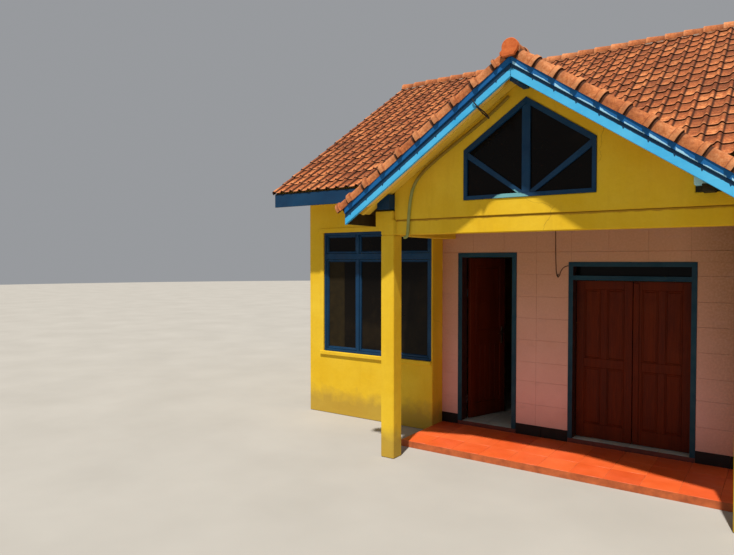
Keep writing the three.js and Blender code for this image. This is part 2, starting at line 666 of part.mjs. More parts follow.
add('eave_board_front', eaveBoard(EAVE_Y), darkBlueWood);
add('eave_board_rear', eaveBoard(2 * RIDGE_Y - EAVE_Y - BOARD), darkBlueWood);
const vergeBoard = mainBand(FASCIA_BOTTOM_Z - EAVE_Z, 0, deckEaveY);
add('verge_board_left', alongX(vergeBoard, LEFT_VERGE_X, LEFT_VERGE_X + BOARD), darkBlueWood);
add('verge_board_right', alongX(vergeBoard, RIGHT_VERGE_X - BOARD, RIGHT_VERGE_X), darkBlueWood);

// Porch roof. It stops where it meets the main roof's tiles, its eave and the front wall.

const mainTileTop = (y) => mainTop(y) + TILES + GAP;
const keepOut = alongX([
  [tileEaveY - GAP, FASCIA_BOTTOM_Z - GAP], [FRONT_Y - GAP, FASCIA_BOTTOM_Z - GAP], [FRONT_Y - GAP, 0],
  [RIDGE_Y, 0], [RIDGE_Y, mainTileTop(RIDGE_Y)], [tileEaveY - GAP, mainTileTop(tileEaveY - GAP)],
], LEFT_WALL_X, RIGHT_WALL_X);

const porchDeckY = PORCH_VERGE_Y + BOARD + GAP;
const capY = PORCH_VERGE_Y - VERGE_CAP_PROUD;
const porchTilesY = capY + 2 * VERGE_CAP_RADIUS + GAP;
const porchRidgeY = PORCH_VERGE_Y - PORCH_RIDGE_OVERHANG;
// Far enough back for every porch piece to run into the main roof
const farY = 1500;
const porchEdges = [PORCH_LEFT_X, PORCH_RIGHT_X];
const porchTileEdges = [PORCH_LEFT_X - PORCH_TILE_OVERHANG, PORCH_RIGHT_X + PORCH_TILE_OVERHANG];
const porchDeck = alongY(porchBand(-PORCH_DECK, 0, ...porchEdges), porchDeckY, farY);
add('porch_roof_deck', cut(porchDeck, keepOut), yellowWood);

function porchTiles() {
  const [rightRoll, leftRoll] = PORCH_ROLL;
  const right = alongX(tiledSection(porchTilesY, farY, porchTilesY + rightRoll, 1), 0, porchTileEdges[1]);
  const left = alongX(tiledSection(porchTilesY, farY, porchTilesY + leftRoll, -1), porchTileEdges[0], 0);
  return join(onSlope(right, -PORCH_TAN, 0, PORCH_APEX_Z), onSlope(left, PORCH_TAN, 0, PORCH_APEX_Z));
}

add('porch_roof_tiles', cut(porchTiles(), keepOut), clayTile);

const lowerBoard = porchBand(-LOWER_BOARD_BOTTOM, -LOWER_BOARD_TOP, ...porchEdges);
add('porch_bargeboard_lower', alongY(lowerBoard, PORCH_VERGE_Y, PORCH_VERGE_Y + BOARD), lightBlueWood);
const upperBoard = porchBand(-LOWER_BOARD_TOP + GAP, 0, ...porchEdges);
add('porch_bargeboard_upper', alongY(upperBoard, PORCH_VERGE_Y - UPPER_BOARD_PROUD, PORCH_VERGE_Y + BOARD),
  darkBlueWood);

const porchTileApex = porchTop(0) + TILES + GAP;
const porchCap = ridgeCap(PORCH_RIDGE_RADIUS, PORCH_RIDGE_Z, porchTileApex, PORCH_TAN);
add('porch_ridge_caps', cut(alongY(porchCap, porchRidgeY, farY), keepOut), clayTile);

// The ridge caps' outline with clearance round it, deep enough to reach the verge caps' undersides
function aroundPorchRidge() {
  const grow = 1 + GAP / PORCH_RIDGE_RADIUS;
  const points = porchCap.map(([x, z]) => [x * grow, PORCH_RIDGE_Z + (z - PORCH_RIDGE_Z) * grow]);
  points[points.length - 1] = [0, porchTop(0) - PORCH_RIDGE_RADIUS / 2];
  return alongY(points, porchRidgeY - PAST, farY);
}

// Round-topped capping down one verge, from the ridge caps to past the eave: side is +1 to the
// right of the ridge and -1 to its left, and reach is how far it runs from the ridge in X
function vergeCaps(side, reach) {
  const steps = 10;
  const profile = [];
  for (let i = 0; i <= steps; i += 1) {
    const t = (Math.PI * i) / steps;
    profile.push([VERGE_CAP_RADIUS * Math.cos(t), VERGE_CAP_RISE + VERGE_CAP_RADIUS * Math.sin(t)]);
  }
  profile.push([-VERGE_CAP_RADIUS, GAP], [VERGE_CAP_RADIUS, GAP]);
  // The profile lies across the verge and up from the slope, and runs down the slope
  const angle = Math.atan(PORCH_TAN);
  const arm = alongX(profile, -VERGE_CAP_RADIUS / 2, reach / Math.cos(angle));
  arm.rotateY(angle);
  if (side < 0) {
    arm.rotateZ(Math.PI);
  }
  arm.translate(0, capY + VERGE_CAP_RADIUS, PORCH_APEX_Z);
  const beyond = boxBetween(side * GAP, -side * 3 * VERGE_CAP_RADIUS, 2 * PORCH_VERGE_Y, 0,
    0, 2 * PORCH_APEX_Z);
  return cut(arm, aroundPorchRidge(), beyond);
}

add('porch_verge_caps_left', vergeCaps(-1, VERGE_CAP_OVERHANG - PORCH_LEFT_X), clayTile);
add('porch_verge_caps_right', vergeCaps(1, VERGE_CAP_OVERHANG + PORCH_RIGHT_X), clayTile);

// Conduit: down the gable wall from under the verge and past the beam to its underside
function conduit() {
  const wallY = GABLE_Y - PIPE_RADIUS - PIPE_CLIP;
  const points = [
    [-342, wallY, 3462], [-800, wallY, 3178], [-1225, wallY, 2922], [-1258, wallY, 2880],
    [-1265, wallY, 2700], [-1270, wallY, 2530], [-1276, wallY, 2330],
  ].map(([x, y, z]) => new THREE.Vector3(x, y, z));
  const path = new THREE.CatmullRomCurve3(points, false, 'centripetal');
  const section = new THREE.Shape();
  section.absarc(0, 0, PIPE_RADIUS, 0, 2 * Math.PI, false);
  return new THREE.ExtrudeGeometry(section, {
    steps: 40, curveSegments: 4, extrudePath: path, bevelEnabled: false,
  });
}

add('conduit', conduit(), pipeGrey);

// Origin: middle of the whole building in X and Y, at ground level
const bounds = new THREE.Box3().setFromObject(group);
group.position.set(-(bounds.min.x + bounds.max.x) / 2, -(bounds.min.y + bounds.max.y) / 2, -bounds.min.z);

export default group;
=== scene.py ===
# %% [markdown]
# # A single-storey house with a gabled porch
# The house has a clay-tiled gable roof along the street and a smaller tiled gable over its porch.
# Its solid parts come from a frame model at real size. These cells give every part its surface:
# pantiles laid one by one, half-round caps, painted timber, panelled doors and weathered plaster.
# Lengths are metres, +Z is up, +Y runs into the house and +X runs along its front to the right.

# %% Load the frame
import json
import math

import bmesh
import bpy
from mathutils import Euler, Matrix, Vector

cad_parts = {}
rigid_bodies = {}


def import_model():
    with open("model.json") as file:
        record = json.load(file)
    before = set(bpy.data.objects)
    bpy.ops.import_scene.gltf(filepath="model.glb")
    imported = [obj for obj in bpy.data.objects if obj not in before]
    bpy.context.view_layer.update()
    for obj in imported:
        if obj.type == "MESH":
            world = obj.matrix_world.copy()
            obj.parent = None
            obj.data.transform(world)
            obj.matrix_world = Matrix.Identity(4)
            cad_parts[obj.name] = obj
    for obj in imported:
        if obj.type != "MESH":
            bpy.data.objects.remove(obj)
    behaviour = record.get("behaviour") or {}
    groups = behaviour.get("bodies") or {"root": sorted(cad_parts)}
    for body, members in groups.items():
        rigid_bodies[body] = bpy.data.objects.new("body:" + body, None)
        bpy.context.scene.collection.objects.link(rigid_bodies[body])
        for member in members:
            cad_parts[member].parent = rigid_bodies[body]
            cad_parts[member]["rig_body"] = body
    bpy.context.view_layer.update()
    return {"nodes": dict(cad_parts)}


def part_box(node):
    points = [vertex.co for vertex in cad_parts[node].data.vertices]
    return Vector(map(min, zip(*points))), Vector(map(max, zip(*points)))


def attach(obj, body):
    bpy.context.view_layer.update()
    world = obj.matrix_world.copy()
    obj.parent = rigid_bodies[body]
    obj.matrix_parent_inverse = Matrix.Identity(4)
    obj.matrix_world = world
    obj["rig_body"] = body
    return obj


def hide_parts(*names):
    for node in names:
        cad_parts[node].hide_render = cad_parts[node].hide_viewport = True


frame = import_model()

# %% [markdown]
# ## A local origin
# Everything on the front is easiest to describe from one point: the middle of the porch gable, on
# the face of the wall behind the porch, level with the porch floor. The frame says where it is,
# so no number has to be fitted by eye.

# %% Local origin and roof planes
def middle(node, axis):
    low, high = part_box(node)
    return (low[axis] + high[axis]) / 2


PORCH_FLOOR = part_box("porch_floor")
WALL_FRONT, WALL_BACK = (corner.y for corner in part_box("front_wall_left"))
ORIGIN = Vector((middle("porch_ridge_caps", 0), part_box("porch_wall_left")[0].y, PORCH_FLOOR[1].z))


def at(x, y, z):
    """A point of the frame from one measured from the porch's own origin."""
    return ORIGIN + Vector((x, y, z))


RIDGE_Y = middle("main_roof_deck", 1)
MAIN_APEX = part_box("main_roof_deck")[1].z
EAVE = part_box("eave_board_front")
MAIN_TAN = (MAIN_APEX - EAVE[1].z) / (RIDGE_Y - EAVE[0].y)
MAIN_PITCH = math.atan(MAIN_TAN)
TILE_LAYER = 0.06
PORCH_X = ORIGIN.x
PORCH_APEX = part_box("porch_roof_deck")[1].z
PORCH_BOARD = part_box("porch_bargeboard_lower")
LOWER_BOARD_BOTTOM = 0.192
PORCH_TAN = (PORCH_APEX - LOWER_BOARD_BOTTOM - PORCH_BOARD[0].z) / (PORCH_BOARD[1].x - PORCH_X)
PORCH_PITCH = math.atan(PORCH_TAN)
print("pitches:", round(math.degrees(MAIN_PITCH), 2), round(math.degrees(PORCH_PITCH), 2))


def main_top(y):
    """Height of the main roof's deck at a depth y of the frame."""
    return MAIN_APEX - MAIN_TAN * abs(y - RIDGE_Y)


def porch_top(x):
    """Height of the porch roof's deck at x of the frame."""
    return PORCH_APEX - PORCH_TAN * abs(x - PORCH_X)

# %% [markdown]
# ## Camera
# The photograph was taken from the street, a little above eye level and to the right of the porch's
# middle, looking to the left and slightly down. The camera stands there with the same field of view.

# %% Camera
CAMERA_PLACE = at(2.055, -6.966, 2.048)
CAMERA_YAW = math.radians(34.84)
CAMERA_PITCH = math.radians(-1.495)
PICTURE_WIDTH = 734
FOCAL_PIXELS = 612


def add_object(name, data):
    """A new object for a camera, light, mesh or curve, linked into the scene."""
    thing = bpy.data.objects.new(name, data)
    bpy.context.scene.collection.objects.link(thing)
    return thing


lens = bpy.data.cameras.new("street_camera")
lens.sensor_width = 36
lens.lens = lens.sensor_width * FOCAL_PIXELS / PICTURE_WIDTH
lens.clip_end = 200
camera = add_object("street_camera", lens)
camera.location = CAMERA_PLACE
camera.rotation_euler = Euler((math.pi / 2 + CAMERA_PITCH, 0, CAMERA_YAW))
bpy.context.scene.camera = camera
print("camera lens", round(lens.lens, 2), "mm")

# %% [markdown]
# ## Light
# A high sun shines from the front and a little from the right. Its disc is made wider than the
# real one, so that the shadows under the roofs have soft edges, and a pale sky fills them.

# %% Light
SUN_TRAVEL = Vector((-0.109, 0.400, -0.911))
SUN_STRENGTH = 5.2
SUN_SOFTNESS = math.radians(1.5)
SKY_STRENGTH = 0.34

sunlight = bpy.data.lights.new("studio_sun", "SUN")
sunlight.energy = SUN_STRENGTH
sunlight.angle = SUN_SOFTNESS
sunlight.color = (1.0, 0.95, 0.88)
sun = add_object("studio_sun", sunlight)
sun.rotation_euler = SUN_TRAVEL.to_track_quat("-Z", "Y").to_euler()

world = bpy.data.worlds.new("studio_sky")
world.use_nodes = True
sky = world.node_tree.nodes["Background"]
sky.inputs["Color"].default_value = (0.92, 0.95, 1.0, 1)
sky.inputs["Strength"].default_value = SKY_STRENGTH
bpy.context.scene.world = world
print("sun comes from", tuple(round(-v, 2) for v in SUN_TRAVEL))

# %% [markdown]
# ## Colours
# Paint colours are easiest to judge as they look on a screen, so every finish below names its own
# in hexadecimal. Blender mixes light in linear values, and one function converts them.

# %% Screen colour to linear
def linear(code):
    """Linear colour, with alpha, from a screen colour such as ff8000."""
    levels = [v / 255 for v in bytes.fromhex(code)]
    return (*(c / 12.92 if c <= 0.04045 else ((c + 0.055) / 1.055) ** 2.4 for c in levels), 1)

# %% [markdown]
# ## Small kit for finishes
# Every surface is a procedural material. They all need the same few steps: noise in object
# coordinates, a ramp of colours, more coats over the first, and bump. Two helper classes keep
# each material down to the lines that describe it. Object coordinates equal metres of the frame,
# because every piece keeps its place in its mesh.

# %% Finish kit
class Nodes:
    """Short calls for the nodes of one tree."""

    def __init__(self, tree):
        self.tree = tree

    def node(self, kind, inputs, **settings):
        made = self.tree.nodes.new(kind)
        for key, value in settings.items():
            setattr(made, key, value)
        for key, value in inputs.items():
            if isinstance(value, bpy.types.NodeSocket):
                self.tree.links.new(value, made.inputs[key])
            else:
                made.inputs[key].default_value = value
        return made

    def math(self, operation, a, b=0.0, clamp=False):
        return self.node("ShaderNodeMath", {0: a, 1: b}, operation=operation, use_clamp=clamp).outputs[0]

    def plus(self, a, b, clamp=False):
        return self.math("ADD", a, b, clamp)

    def minus(self, a, b):
        return self.math("SUBTRACT", a, b)

    def times(self, a, b):
        return self.math("MULTIPLY", a, b)


class Finish(Nodes):
    """A principled material that is put on in coats; colour is what it has so far."""

    def __init__(self, name, roughness, specular):
        self.material = bpy.data.materials.new(name)
        self.material.use_nodes = True
        super().__init__(self.material.node_tree)
        self.shader = self.tree.nodes["Principled BSDF"]
        self.shader.inputs["Roughness"].default_value = roughness
        self.shader.inputs["Specular IOR Level"].default_value = specular
        self.object = self.node("ShaderNodeTexCoord", {}).outputs["Object"]
        self.colour = None

    def axis(self, name):
        return self.node("ShaderNodeSeparateXYZ", {0: self.object}).outputs[name]

    def attribute(self, name):
        return self.node("ShaderNodeAttribute", {}, attribute_name=name).outputs["Fac"]

    def noise(self, scale, detail, rough=0.55, squeeze=(1, 1, 1)):
        """Noise that can be squeezed along its axes, so that it runs along a grain."""
        vector = self.object
        if tuple(squeeze) != (1, 1, 1):
            vector = self.node("ShaderNodeMapping", {"Vector": vector, "Scale": squeeze}).outputs["Vector"]
        inputs = {"Vector": vector, "Scale": scale, "Detail": detail, "Roughness": rough}
        return self.node("ShaderNodeTexNoise", inputs).outputs["Fac"]

    def span(self, value, low, high, to_low=0.0, to_high=1.0):
        """value from low to high becomes to_low to to_high, clamped."""
        inputs = {"Value": value, "From Min": low, "From Max": high, "To Min": to_low, "To Max": to_high}
        return self.node("ShaderNodeMapRange", inputs).outputs["Result"]

    def cloud(self, scale, detail, low, high, to_low=0.0, to_high=1.0, rough=0.55, squeeze=(1, 1, 1)):
        """Noise of which the part between two levels is spread out from to_low to to_high."""
        return self.span(self.noise(scale, detail, rough, squeeze), low, high, to_low, to_high)

    def ramp(self, value, colours, positions=(0.3, 0.7)):
        """Colours, given as codes with spaces between them, at positions along value."""
        made = self.node("ShaderNodeValToRGB", {"Fac": value})
        elements = made.color_ramp.elements
        while len(elements) < len(positions):
            elements.new(0.5)
        for element, position, code in zip(elements, positions, colours.split()):
            element.position = position
            element.color = linear(code)
        return made.outputs["Color"]

    def mix(self, amount, a, b):
        """From a to b by amount; either may be the code of a colour."""
        a, b = (linear(colour) if isinstance(colour, str) else colour for colour in (a, b))
        return self.node("ShaderNodeMix", {0: amount, 6: a, 7: b}, data_type="RGBA").outputs[2]

    def coat(self, amount, colour):
        """Puts a colour over what is there by amount."""
        self.colour = self.mix(amount, self.colour, colour)

    def bump(self, height, distance, strength):
        inputs = {"Height": height, "Distance": distance, "Strength": strength}
        return self.node("ShaderNodeBump", inputs).outputs["Normal"]

    def done(self, roughness=None, normal=None):
        """Connects the coats, and roughness and bump where they vary, to the shader."""
        for name, socket in (("Base Color", self.colour), ("Roughness", roughness), ("Normal", normal)):
            if socket is not None:
                self.tree.links.new(socket, self.shader.inputs[name])


print("finish kit ready")

# %% [markdown]
# ## Lime-washed plaster
# The walls, columns and beams are trowelled plaster under a strong yellow wash. It has faded in
# clouds, rain has drawn darker streaks down it, it is grimy near the ground, and it has hairline
# cracks. A darker strip along the beam just below the gable wall's edge is painted shadow.
# Clouds and streaks are noise at two scales, the streaks squeezed so that they run down the wall.
# Cracks are the edges of a warped cell pattern, kept only where a second noise allows, because
# real cracks are never everywhere.

# %% Yellow plaster
GRIME_TOP = 0.22
GRIME_FADE = 0.2


def dirt_near_ground(f):
    """1 at the ground, fading out with a ragged edge."""
    level = f.minus(f.axis("Z"), f.times(f.noise(7, 5), GRIME_FADE * 1.6))
    return f.span(level, GRIME_TOP - GRIME_FADE, GRIME_TOP, 1, 0)


def crack_lines(f):
    """Thin wandering lines, only in some places."""
    warp = f.node("ShaderNodeTexNoise", {"Vector": f.object, "Scale": 2.2, "Detail": 5}).outputs["Color"]
    push = f.node("ShaderNodeVectorMath", {0: warp, "Scale": 0.35}, operation="SCALE").outputs[0]
    warped = f.node("ShaderNodeVectorMath", {0: f.object, 1: push}, operation="ADD").outputs[0]
    cells = f.node("ShaderNodeTexVoronoi", {"Vector": warped, "Scale": 1.3}, feature="DISTANCE_TO_EDGE")
    line = f.span(cells.outputs["Distance"], 0, 0.005, 1, 0)
    return f.times(f.times(line, f.cloud(0.9, 2, 0.56, 0.64)), 0.45)


def painted_ledge_shadow(f):
    """Marks the strip of the front beam just below the gable wall's edge, for painted shadow."""
    face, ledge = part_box("gable_wall")[0].y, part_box("gable_wall")[0].z
    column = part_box("column_left")[1].x
    height = f.plus(f.axis("Z"), f.cloud(14, 4, 0.3, 0.7, -0.005, 0.005))
    near_face = f.span(f.axis("Y"), face + 0.06, face + 0.05)
    strip = f.times(f.span(height, ledge - 0.026, ledge - 0.016), near_face)
    strip = f.times(strip, f.span(f.axis("X"), column, column + 0.002))
    return f.times(strip, f.span(f.axis("Z"), ledge + 0.001, ledge, 0, 0.75))


def yellow_wash(name):
    f = Finish(name, 0.85, 0.3)
    f.colour = f.mix(f.cloud(1.1, 6, 0.36, 0.66, rough=0.6), "dbb11a", "e5c132")
    f.coat(f.cloud(5, 6, 0.52, 0.76, 0, 0.32, 0.62, (2.2, 2.2, 0.28)), "c4981a")
    f.coat(f.cloud(38, 5, 0.35, 0.7, 0, 0.14, 0.6), "c4981a")
    f.coat(f.times(dirt_near_ground(f), 0.6), "94763a")
    f.coat(crack_lines(f), "46341a")
    # Painted shadow: the strip of beam just below the gable wall's edge
    f.coat(painted_ledge_shadow(f), "966814")
    grain = {"Height": f.noise(170, 4, 0.6), "Distance": 0.0016, "Strength": 0.6,
             "Normal": f.bump(f.noise(9, 3, 0.5), 0.010, 0.35)}
    f.done(f.cloud(12, 3, 0.3, 0.7, 0.78, 0.95), f.node("ShaderNodeBump", grain).outputs["Normal"])


yellow_wash("weathered_yellow_wash")
print("finish: yellow wash")

# %% [markdown]
# The wall behind the porch wears an older pink wash, browner towards the top where hands and
# sweeping never reach, and scuffed to a duller pink in patches. Towards its right end it darkens
# to brown as painted shade.

# %% Pink plaster
def pink_wash(name):
    f = Finish(name, 0.8, 0.25)
    f.colour = f.mix(f.cloud(1.5, 6, 0.35, 0.66, rough=0.6), "dcaaa2", "d09c92")
    f.coat(f.times(f.span(f.axis("Z"), 0.5, 2.1), 0.85), "bc8c62")
    # Painted shade: the right end of the wall darkens towards brown
    f.coat(f.span(f.axis("X"), ORIGIN.x + 1.1, ORIGIN.x + 1.8, 0, 0.86), "6e4c26")
    f.coat(f.cloud(3.2, 7, 0.55, 0.78, 0, 0.4, 0.65, (1, 1, 2.4)), "b0887c")
    f.coat(f.cloud(45, 4, 0.4, 0.7, 0, 0.2), "e2ac96")
    f.done(f.cloud(8, 4, 0.3, 0.7, 0.7, 0.92), f.bump(f.noise(90, 4), 0.0012, 0.6))


pink_wash("old_pink_wash")
print("finish: pink wash")

# %% [markdown]
# ## Fired clay
# Every tile came out of the kiln a little different, and has weathered by itself since. The tile
# field stores one random number per tile as an attribute called tone, and the clay reads it: a
# ramp turns it into dark brown, brown-red or orange. Noise adds lichen and soot on top.
# Each tile also knows where on it a point lies, along and across. Painted shade darkens each tile
# towards where the next one covers it, and a painted highlight lightens it just above its lower end.
# Dirt and painted shade make a dark line along the lap and beside the roll, the broken ends are
# darkened as painted shade, and a cap's collar has a dark line of painted shade at its step.

# %% Clay finishes
def clay(name, colours, positions, soot, lichen, roughness, lap, band=0.0, groove=0.0):
    """lap is where the next tile covers this one; band and groove are the strengths of two lines."""
    f = Finish(name, roughness, 0.2)
    along, across = f.attribute("along"), f.attribute("across")
    own = f.plus(f.span(f.attribute("tone"), 0, 1, 0.22, 0.78), f.cloud(6, 5, 0.3, 0.7, -0.15, 0.15, 0.6))
    own = f.plus(own, f.cloud(34, 5, 0.3, 0.7, -0.46, 0.46, 0.7), clamp=True)
    f.colour = f.ramp(own, colours, positions)
    f.coat(f.cloud(26, 4, 0.45, 0.75, 0, 0.35, 0.6, (1, 0.35, 0.35)), "764024")
    f.coat(f.cloud(1.3, 7, 0.5, 0.72, 0, soot, 0.66), "542e1d")
    spots = f.node("ShaderNodeTexVoronoi", {"Vector": f.object, "Scale": 24.0}).outputs["Distance"]
    patch = f.times(f.span(spots, 0.1, 0.34, 1, 0), f.cloud(2.1, 3, 0.5, 0.62))
    f.coat(f.times(patch, lichen), "a87a52")
    f.coat(f.cloud(150, 3, 0.35, 0.7, 0, 0.28), "683a24")
    # Painted shade towards the lap, and a painted highlight just above the lower end
    f.coat(f.span(along, 0.30, 0.80, 0, 0.44), "582e1c")
    f.coat(f.span(along, 0.16, 0.02, 0, 0.30), "dea072")
    line = f.times(f.span(along, 0.60, 0.64), f.span(along, 0.70, 0.66))
    f.coat(f.times(line, f.cloud(17, 4, 0.40, 0.58, 0, band)), "582e1c")
    # Painted shade in the step behind a cap's collar
    f.coat(f.times(f.span(along, 0.155, 0.17, 0, groove), f.span(along, 0.215, 0.195)), "603420")
    # Dirt and painted shade along the lap and beside the roll, and painted shade on the raw ends
    seam = f.math("MAXIMUM", f.span(across, 0.91, 0.98), f.span(across, 0.12, 0.03))
    f.coat(f.math("MAXIMUM", f.span(along, *lap, 0, 0.88), f.times(seam, 0.9)), "301a10")
    f.coat(f.times(f.attribute("edge"), 0.9), "32180f")
    f.done(f.cloud(20, 3, 0.3, 0.7, roughness - 0.08, 0.95), f.bump(f.noise(120, 4), 0.0014, 0.6))


CAP_COLOURS = ("98522c c27442 da9462", (0, 0.5, 1))
clay("roof_clay", "62321a 904e2b b66638 dc925a", (0, 0.3, 0.65, 1), 0.45, 0.4, 0.85, (0.82, 0.89),
     band=0.6)
clay("cap_clay", *CAP_COLOURS, 0.35, 0.2, 0.8, (0.745, 0.772), groove=0.55)
clay("ridge_clay", *CAP_COLOURS, 0.35, 0.3, 0.8, (0.855, 0.87))


def mortar(name):
    """Bedding that was rubbed with clay slip and shows grey where the slip has gone."""
    f = Finish(name, 0.95, 0.1)
    slip = f.ramp(f.noise(14, 6, 0.6), "764c34 a6704e")
    bare = f.ramp(f.noise(22, 6, 0.6), "685c50 a89c8e")
    f.colour = f.mix(f.cloud(2.6, 4, 0.56, 0.62, rough=0.6), slip, bare)
    f.done(None, f.bump(f.noise(60, 6, 0.7), 0.006, 0.8))


mortar("bedding_mortar")
print("finishes: clay of tiles and caps, mortar")

# %% [markdown]
# ## Painted timber
# Boards and frames are painted softwood, blue outside and a strong yellow under the eaves, and the
# doors are stained red-brown. Brush marks and grain follow the length of a board, so the noise
# behind them is squeezed along one axis. Paint also dulls in patches and flakes. Four finishes carry
# a mark of their own, which a function draws, and each mark is painted light or shade: a sunlit
# strip at the foot of the upper bargeboards, a patch of sun at the foot of the gable window's king
# post, the upper board's shadow along the top of the lower one, and shade in the door posts' reveals.

# %% Painted and stained timber
def grain_along(axis, share):
    """How to squeeze noise so that it is drawn out along one axis."""
    return [share if name == axis else 1.0 for name in "XYZ"]


def painted(name, colours, along, roughness, chips, mark=None, mark_colour=None):
    """Brushed paint on wood, from the codes of fresh paint, dull paint and what is under it."""
    f = Finish(name, roughness, 0.25)
    fresh, dull, under = colours.split()
    grain = f.noise(70, 5, 0.6, grain_along(along, 0.06))
    f.colour = f.mix(f.cloud(2.4, 6, 0.35, 0.68, rough=0.6), fresh, dull)
    f.coat(f.span(grain, 0.5, 0.78, 0, 0.35), dull)
    if mark:
        f.coat(mark(f), mark_colour)
    flaked = f.cloud(34, 6, 0.66, 0.70, 0, chips, 0.7, grain_along(along, 0.25))
    f.coat(flaked, under)
    gloss = f.cloud(9, 4, 0.3, 0.72, roughness - 0.1, roughness + 0.3)
    f.done(gloss, f.bump(f.minus(f.times(grain, 0.6), flaked), 0.0012, 0.6))


def painted_sun_strip(f):
    """Marks a thin strip at the foot of a rake board on the sunny side, broken at each collar: painted
    sunlight below the caps' shadow.
    """
    body = f.math("FRACT", f.attribute("phase"))
    swell = f.times(f.span(body, 0.25, 0.98, 0.001, 0.019), f.cloud(3.1, 2, 0.42, 0.56, 0.1, 1))
    edge = f.minus(f.plus(swell, f.cloud(30, 4, 0.3, 0.7, 0.005, 0.011)), f.span(body, 0.16, 0.2, 0.02, 0))
    strip = f.span(f.minus(f.attribute("rise"), edge), -0.0015, 0.0015, 0.95, 0)
    return f.times(strip, f.attribute("sunny"))


def painted_board_shadow(f):
    """Marks the top of a rake board with painted shadow of the board above, wider on the left and dipping at
    each collar.
    """
    body = f.math("FRACT", f.attribute("phase"))
    collar_shade = f.times(f.span(body, 0.0, 0.05, 0, 0.016), f.span(body, 0.10, 0.06))
    collar_shade = f.plus(collar_shade, f.cloud(40, 6, 0.3, 0.7, -0.003, 0.003, 0.75))
    edge = f.minus(f.span(f.attribute("sunny"), 0, 1, 0.066, 0.079), collar_shade)
    return f.span(f.minus(f.attribute("rise"), edge), -0.001, 0.002, 0, 0.95)


def painted_reveal_shade(f):
    """Marks faces that look sideways, the reveals, for painted shade."""
    normal = f.node("ShaderNodeNewGeometry", {}).outputs["Normal"]
    sideways = f.node("ShaderNodeSeparateXYZ", {0: normal}).outputs["X"]
    return f.span(f.math("ABSOLUTE", sideways), 0.6, 0.8, 0, 0.95)


def painted_sun_patch(f):
    """Marks the foot of the king post for a painted patch of the low sun that reaches under the verge."""
    aside = f.math("ABSOLUTE", f.minus(f.axis("X"), ORIGIN.x - 0.15))
    spread = f.plus(f.times(aside, 0.45), f.minus(f.axis("Z"), ORIGIN.z + 2.74))
    return f.span(f.plus(spread, f.cloud(20, 4, 0.3, 0.7, -0.01, 0.01)), -0.008, 0.004, 0.95, 0)


DARK_BLUE = "052e4e 0a3a5c 2a3e48"
PAINTS = {
    "dark_blue_x": (DARK_BLUE, "X", 0.5, 0.5),
    "dark_blue_y": (DARK_BLUE, "Y", 0.5, 0.5),
    "dark_blue_z": (DARK_BLUE, "Z", 0.5, 0.5),
    # Painted patch of sunlight at the foot of the king post
    "gable_blue_z": (DARK_BLUE, "Z", 0.5, 0.4, painted_sun_patch, "70acb2"),
    # Painted shadow of the upper board along the top of the lower one
    "light_blue_x": ("36a4da 56bae6 8cc8dc", "X", 0.45, 0.35, painted_board_shadow, "042444"),
    # Painted sunlit strip at the foot of the upper board
    "middle_blue_x": ("065492 0c5e98 285670", "X", 0.5, 0.4, painted_sun_strip, "9cd0ea"),
    # Painted shade in the reveals of the door posts
    "door_blue_z": ("083040 103c4a 2c3c3a", "Z", 0.5, 0.4, painted_reveal_shade, "3a180c"),
    # Dark brown as painted shade: the porch deck's underside and the side fascias
    "dark_boards_y": ("362a12 4a3a1a 282012", "Y", 0.75, 0.2),
    # Pale blue as painted sunlight on the right wall plate; the left one is dark blue
    "plate_blue_x": ("96d8ec b4e6f2 78aab4", "X", 0.5, 0.4),
    "soffit_yellow_x": ("eac242 d8ae3a 8c6a30", "X", 0.6, 0.4),
    "rafter_cream_x": ("f0cc6e e2ba5c 96743e", "X", 0.65, 0.4),
}
for name, recipe in PAINTS.items():
    painted(name, *recipe)
print("finishes:", ", ".join(PAINTS))


def stained(name, along):
    """Dark red-brown wood under thin stain: long fibres, darker rings and little gloss."""
    f = Finish(name, 0.55, 0.1)
    fibre = f.noise(110, 6, 0.65, grain_along(along, 0.05))
    figure = f.noise(9, 4, 0.6, grain_along(along, 0.12))
    both = f.plus(f.times(fibre, 0.5), f.times(figure, 0.5))
    f.colour = f.ramp(both, "401305 541c07 66260b", (0.3, 0.5, 0.7))
    f.coat(f.cloud(3, 5, 0.58, 0.78, 0, 0.2, 0.6), "6e341a")
    f.done(f.span(figure, 0.3, 0.7, 0.45, 0.65), f.bump(fibre, 0.0006, 0.6))


stained("door_wood_z", "Z")

# %% [markdown]
# ## Floors, glass, pipe and metal
# The porch floor is glazed red tile that has lost some of its gloss to feet. The rooms behind are
# unlit, so their glass is nearly black; a low reflectance keeps the pale studio from turning it
# grey. The conduit is sun-yellowed plastic pipe.

# %% Remaining finishes
def glazed_floor(name, colours, positions, joint, roughness, dirt):
    f = Finish(name, roughness, 0.5)
    own = f.plus(f.attribute("tone"), f.cloud(5, 5, 0.3, 0.7, -0.2, 0.2), clamp=True)
    f.colour = f.ramp(own, colours, positions)
    f.coat(f.cloud(2.2, 7, 0.45, 0.75, 0, dirt, 0.65), joint)
    f.done(f.cloud(4, 5, 0.3, 0.7, roughness, roughness + 0.3, 0.6), f.bump(f.noise(40, 3), 0.0006, 0.5))


glazed_floor("red_floor_glaze", "c44c22 d05424 d8602c", (0, 0.5, 1), "ce6e46", 0.3, 0.2)
glazed_floor("grey_floor_glaze", "a8aaa6 bec0ba", (0, 1), "8c8a82", 0.25, 0.3)


def rough_plain(name, colours, scale, roughness, specular, depth, metallic=0.0, positions=(0.3, 0.7)):
    f = Finish(name, roughness, specular)
    f.shader.inputs["Metallic"].default_value = metallic
    f.colour = f.ramp(f.noise(scale, 6, 0.6), colours, positions)
    gloss = f.cloud(scale * 2, 4, 0.3, 0.7, roughness * 0.85, min(1, roughness * 1.15))
    f.done(gloss, f.bump(f.noise(scale * 9, 4), depth, 0.6))


